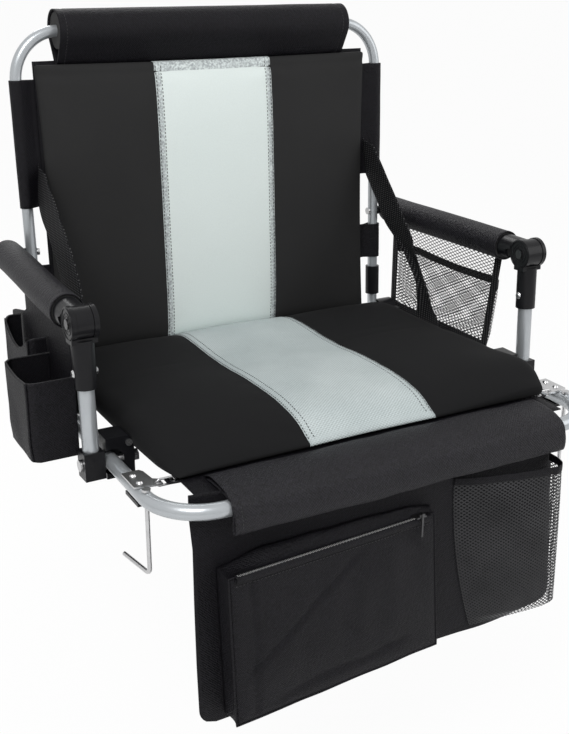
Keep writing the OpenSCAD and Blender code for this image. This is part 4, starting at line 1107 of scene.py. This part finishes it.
def makeBinding(look):
    # tape folded over the net's three free edges: a strip inside the outline
    rear, front, top, low, w = look["rear"], look["front"], look["top"], look["low"], look["tape"]
    outer = [(rear, top), (rear, low + 4), (rear - 4, low), (front + 4, low), (front, low + 4), (front, top)]
    inner = [(rear - w, top), (rear - w, low + w + 1), (rear - w - 1, low + w), (front + w + 1, low + w),
             (front + w, low + w + 1), (front + w, top)]
    rows = []
    for k in range(5):
        steps = 24 if k in (0, 2, 4) else 4
        for i in range(steps + (k == 4)):
            rows.append([tuple(mix(a, b, i / steps) for a, b in zip(line[k], line[k + 1])) for line in (outer, inner)])

    def place(u, v):
        a, b = rows[min(len(rows) - 1, int(round(v * (len(rows) - 1))))]
        return netPoint(0.25 + 0.5 * math.sin(math.pi * u), mix(a[0], b[0], u), mix(a[1], b[1], u))
    return addSheet("netBinding", place, 4, len(rows) - 1, "webbing", (0.009, 0.53), look["tapeThick"])


def placeSidePocket(u, v, lift=0.0):
    # the net bulges out from the tape at its lower edge and ends; its mouth hangs a little open
    look = pocketLook
    y = mix(look["front"], look["rear"], u)
    ends = min(u, 1 - u)
    z = mix(look["low"], look["high"] - 5.5 * math.sin(math.pi * u) * v, v)
    out = (look["out"] * min(1.0, ends / 0.13) ** 0.6 * (0.3 + 0.7 * min(1.0, v / 0.22) ** 0.7)
           * (1 - 0.22 * ramp(v, 0.75, 1.0)))
    out += 0.8 * ripple(y, z, 4, 50) * ramp(ends, 0, 0.1)
    return netPoint(2.2 + min(look["out"] - 0.6, max(0.0, out)) + lift, y, z)


def placePocketBand(u, v):
    return placeSidePocket(u, 1.0 - pocketLook["band"] / 100 * (1 - v), 0.3 + 0.3 * math.sin(math.pi * v))


sideNet = addNet("sideNet", placeSideNet, (234, 130), netLook["side"], "net", netLook["sideThread"])
dress(sideNet, "arm_right", "black_net", "side_net")
netBinding = dress(makeBinding(netSide), "arm_right", "black_webbing", "net_binding")
sidePocket = addNet("sidePocket", placeSidePocket, (262, 104), netLook["side"], "net",
                    netLook["sideThread"])
dress(sidePocket, "arm_right", "black_net", "side_pocket")
pocketBand = addSheet("sidePocketBand", placePocketBand, 80, 5, "webbing", (0.26, 0.01),
                      pocketLook["bandThick"])
dress(pocketBand, "arm_right", "black_webbing")
print("side nets made")

# Side straps: webbing from a loop round the seat tube up to the back panel
strapLook = dict(thick=1.6, lowX=264.75, height=262, inward=26.4, loopX=275, loopY=-143.0, loop=9.7, loopWidth=46.0,
                 loopThick=1.4)
# the strap's rear and front edges: height, rear y, front y, bulge of the middle away from the seat
strapPath = {1: [(0, -120, -166, 0), (14, -119, -166, 0.5), (30, -112, -160, 3), (50, -110, -148, 9),
                 (70, -108, -137, 13), (92, -94, -126, 11), (114, -77, -116, 8), (130, -55, -108, 4),
                 (147, -35, -103, 1), (173, -18, -85, 0), (199, 2, -66, 0), (225, 22, -46, 0), (262, 50, -18, 0)],
             -1: [(0, -120, -166, 0), (30, -121, -168, 0), (60, -122, -172, 2), (90, -118, -176, 4),
                  (114, -108, -176, 4), (130, -98, -173, 3), (147, -82, -165, 1), (173, -50, -141, 0),
                  (199, -8, -108, 0), (225, 14, -70, 0), (262, 46, -14, 0)]}


def makeStrap(side, label, look):
    rows = curvePoints([step[:3] for step in strapPath[side]], 91)
    bulges = [(z, bulge) for z, rear, front, bulge in strapPath[side]]

    def place(u, v):
        z, rear, front = rows[round(v * 90)]
        y = mix(rear, front, u)
        x = look["lowX"] - look["inward"] * z / look["height"]
        x += smoothLookup(z, bulges) * (1 - (2 * u - 1) ** 2) * 0.6
        x += 0.5 * ripple(y, z, side * 20, 30)
        tall = z + 10 * (0.5 - u) * ramp(z, 20, 60)       # the weft runs square to the strap's slope
        y = min(y, tall * math.tan(lean) - 1.2)           # cut along the back panel's face
        return seatPoint(side * x, y, tall)
    strap = addSheet("strap." + label, place, 14, 90, "webbing", (0.05, 0.32), look["thick"], offset=0.0)
    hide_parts("strap_" + label)

    def loop(u, v):
        angle = fullTurn * u
        return seatPoint(side * look["loopX"] + side * math.cos(angle) * look["loop"],
                         look["loopY"] + (v - 0.5) * look["loopWidth"], math.sin(angle) * look["loop"])
    ring = addSheet("strapLoop." + label, loop, 32, 8, "webbing", (0.061, 0.046), look["loopThick"], True)
    dress(ring, "seat", "black_webbing")
    return strap, (side * 264.4, look["loopY"], 0.0), (side * 241.0, -2.0, 232.0)


for side, label in hands:
    strap, low, top = makeStrap(side, label, strapLook)
    tuple(seatPoint(*low))
    tuple(seatPoint(*top))
    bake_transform(strap)
print("straps made")

# Seat sling under the cushion, and the back's cloth with its side sleeves
slingLook = dict(half=236.0, rear=-55.0, front=-439.0, low=8.1, thick=1.3, earThick=1.2,
                 ear=((230, -385), (249, -387), (249, -399), (230, -401)))
backCloth = dict(half=235.0, low=34.0, high=388.0, thick=1.2, tube=257.0, radius=8.3, hem=6, sleeveThick=1.0,
                 sleeves=((213, 367), (89, 138)))


def placeSling(u, v):
    look = slingLook
    x, y = mix(-look["half"], look["half"], u), mix(look["rear"], look["front"], v)
    return seatPoint(x, y, look["low"] + 0.15 * ripple(x, y, 0, 50))


def slingEar(side, label, look):
    a, b, c, d = [seatPoint(side * x, y, look["low"]) for x, y in look["ear"]]
    piece = addSheet("slingEar." + label, lambda u, v: a.lerp(b, u).lerp(d.lerp(c, u), v), 8, 6,
                     "cover", (0.02, 0.016), look["earThick"], offset=0.0)
    return dress(piece, "seat", "black_cloth")


def placeBackPanel(u, v):
    look = backCloth
    x, s = mix(-look["half"], look["half"], u), mix(look["low"], look["high"], v)
    return backPoint(x, -1.0 - 0.3 * ripple(x, s, 0, 60), s)


def makeSideSleeve(side, low, high, label, look):
    def place(u, v):
        # from the panel's edge, round the tube and back, as a flattened loop
        s = mix(low, high, v)
        t = fullTurn * u
        end = min(s - low, high - s)
        radius = look["radius"] + 0.35 - 0.25 * bell(end - look["hem"], 1.3)
        radius += 0.2 * ripple(s, math.cos(t) * 9, side * 9, 30)
        x = look["tube"] - math.cos(t) * radius
        off = -math.sin(t) * radius
        if math.cos(t) > 0.35:    # towards the panel the two layers come together
            share = (math.cos(t) - 0.35) / 0.65
            x = mix(look["tube"] - 0.35 * radius, look["half"] - 1, share)
            off = mix(off, -0.8 - math.copysign(0.7, math.sin(t)), min(1.0, share * 1.5))
        return backPoint(side * x, off, s)
    piece = addSheet("sideSleeve." + label, place, 48, 40, "cover", (0.08, (high - low) * mm),
                     look["sleeveThick"], True)
    dress(piece, "back", "black_cloth")


seatSling = addSheet("seatSling", placeSling, 60, 48, "cover", (0.472, 0.384), slingLook["thick"],
                     offset=0.0)
dress(seatSling, "seat", "black_cloth", "seat_sling")
for side, label in hands:
    slingEar(side, label, slingLook)
backPanel = addSheet("backPanel", placeBackPanel, 60, 48, "cover", (0.47, 0.35), backCloth["thick"],
                     offset=0.0)
dress(backPanel, "back", "black_cloth", "back_panel")
for side, hand in hands:
    for (low, high), place in zip(backCloth["sleeves"], ("upper", "lower")):
        makeSideSleeve(side, low, high, hand + "." + place, backCloth)
print("sling and back cloth made")

# Moulded rings on the elbows' round cheeks
ringLook = dict(side=295.5, forward=-293.15, high=156.85, face=14.2, rings=((16.6, 0.9), (11.6, 0.6), (8.2, 0.5)))


def makeRing(side, label, face, radius, wire):
    look = ringLook
    circle = []
    for k in range(48):
        angle = fullTurn * k / 48
        circle.append(seatPoint(side * look["side"] + face * look["face"], look["forward"] + radius * math.cos(angle),
                                look["high"] + radius * math.sin(angle)))
    name = "elbowRing.%s.%s.%g" % (label, "in" if face * side < 0 else "out", radius)
    dress(addTube(name, circle, wire, "plastic", closed=True), "post_" + label, "black_plastic")


for side, label in hands:
    for face in (-1, 1):
        for radius, wire in ringLook["rings"]:
            makeRing(side, label, face, radius, wire)
print("elbow rings made")

# Finishes on the frame's own parts; a part that comes in a pair is named once
finishes = {"silver": ("seat_frame", "rear_cross_tube", "back_frame", "arm_tube", "post_tube"),
            "plastic": ("hinge_brackets", "post_saddles", "tab_underplates", "hinge_collars", "arm_spacers",
                        "arm_knuckle", "post_fork", "post_foot"),
            "steel": ("hinge_bolts", "post_pivot_bolts", "sling_tabs", "frame_screws", "wire_links", "grommets",
                      "arm_pivot_bolts", "post_rivet", "hook"),
            "zipMetal": ("zip_slider", "zip_pull", "elbow_pin")}


def finishFrame():
    for key, names in finishes.items():
        for name in [name + end for name in names for end in ("", "_left", "_right")]:
            if name not in frame["nodes"]:
                continue
            node = frame["nodes"][name]
            if not node.material_slots:
                node.data.materials.append(materials[key])
            for slot in node.material_slots:
                slot.material = materials[key]


finishFrame()
print("frame parts finished")


def giveWay(starts, anchor):
    for piece in [p for p in bpy.data.objects if p.name.startswith(starts)]:
        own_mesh(piece)


giveWay(("backCushion", "backStripe", "backStitches"), backPoint(0, 0.4, 200))
giveWay(("seatCushion", "seatStripe", "seatStitches"), seatPoint(0, -200, seatPad["bottom"]))
giveWay(("armSleeve", "armFoam"), seatPoint(0, -100, armRoll["high"] + armRoll["radius"]))
giveWay(("sidePanel", "frontCup", "rearCup", "sideNet", "netBinding", "sidePocket"),
        seatPoint(0, -100, sideLook["top"]))
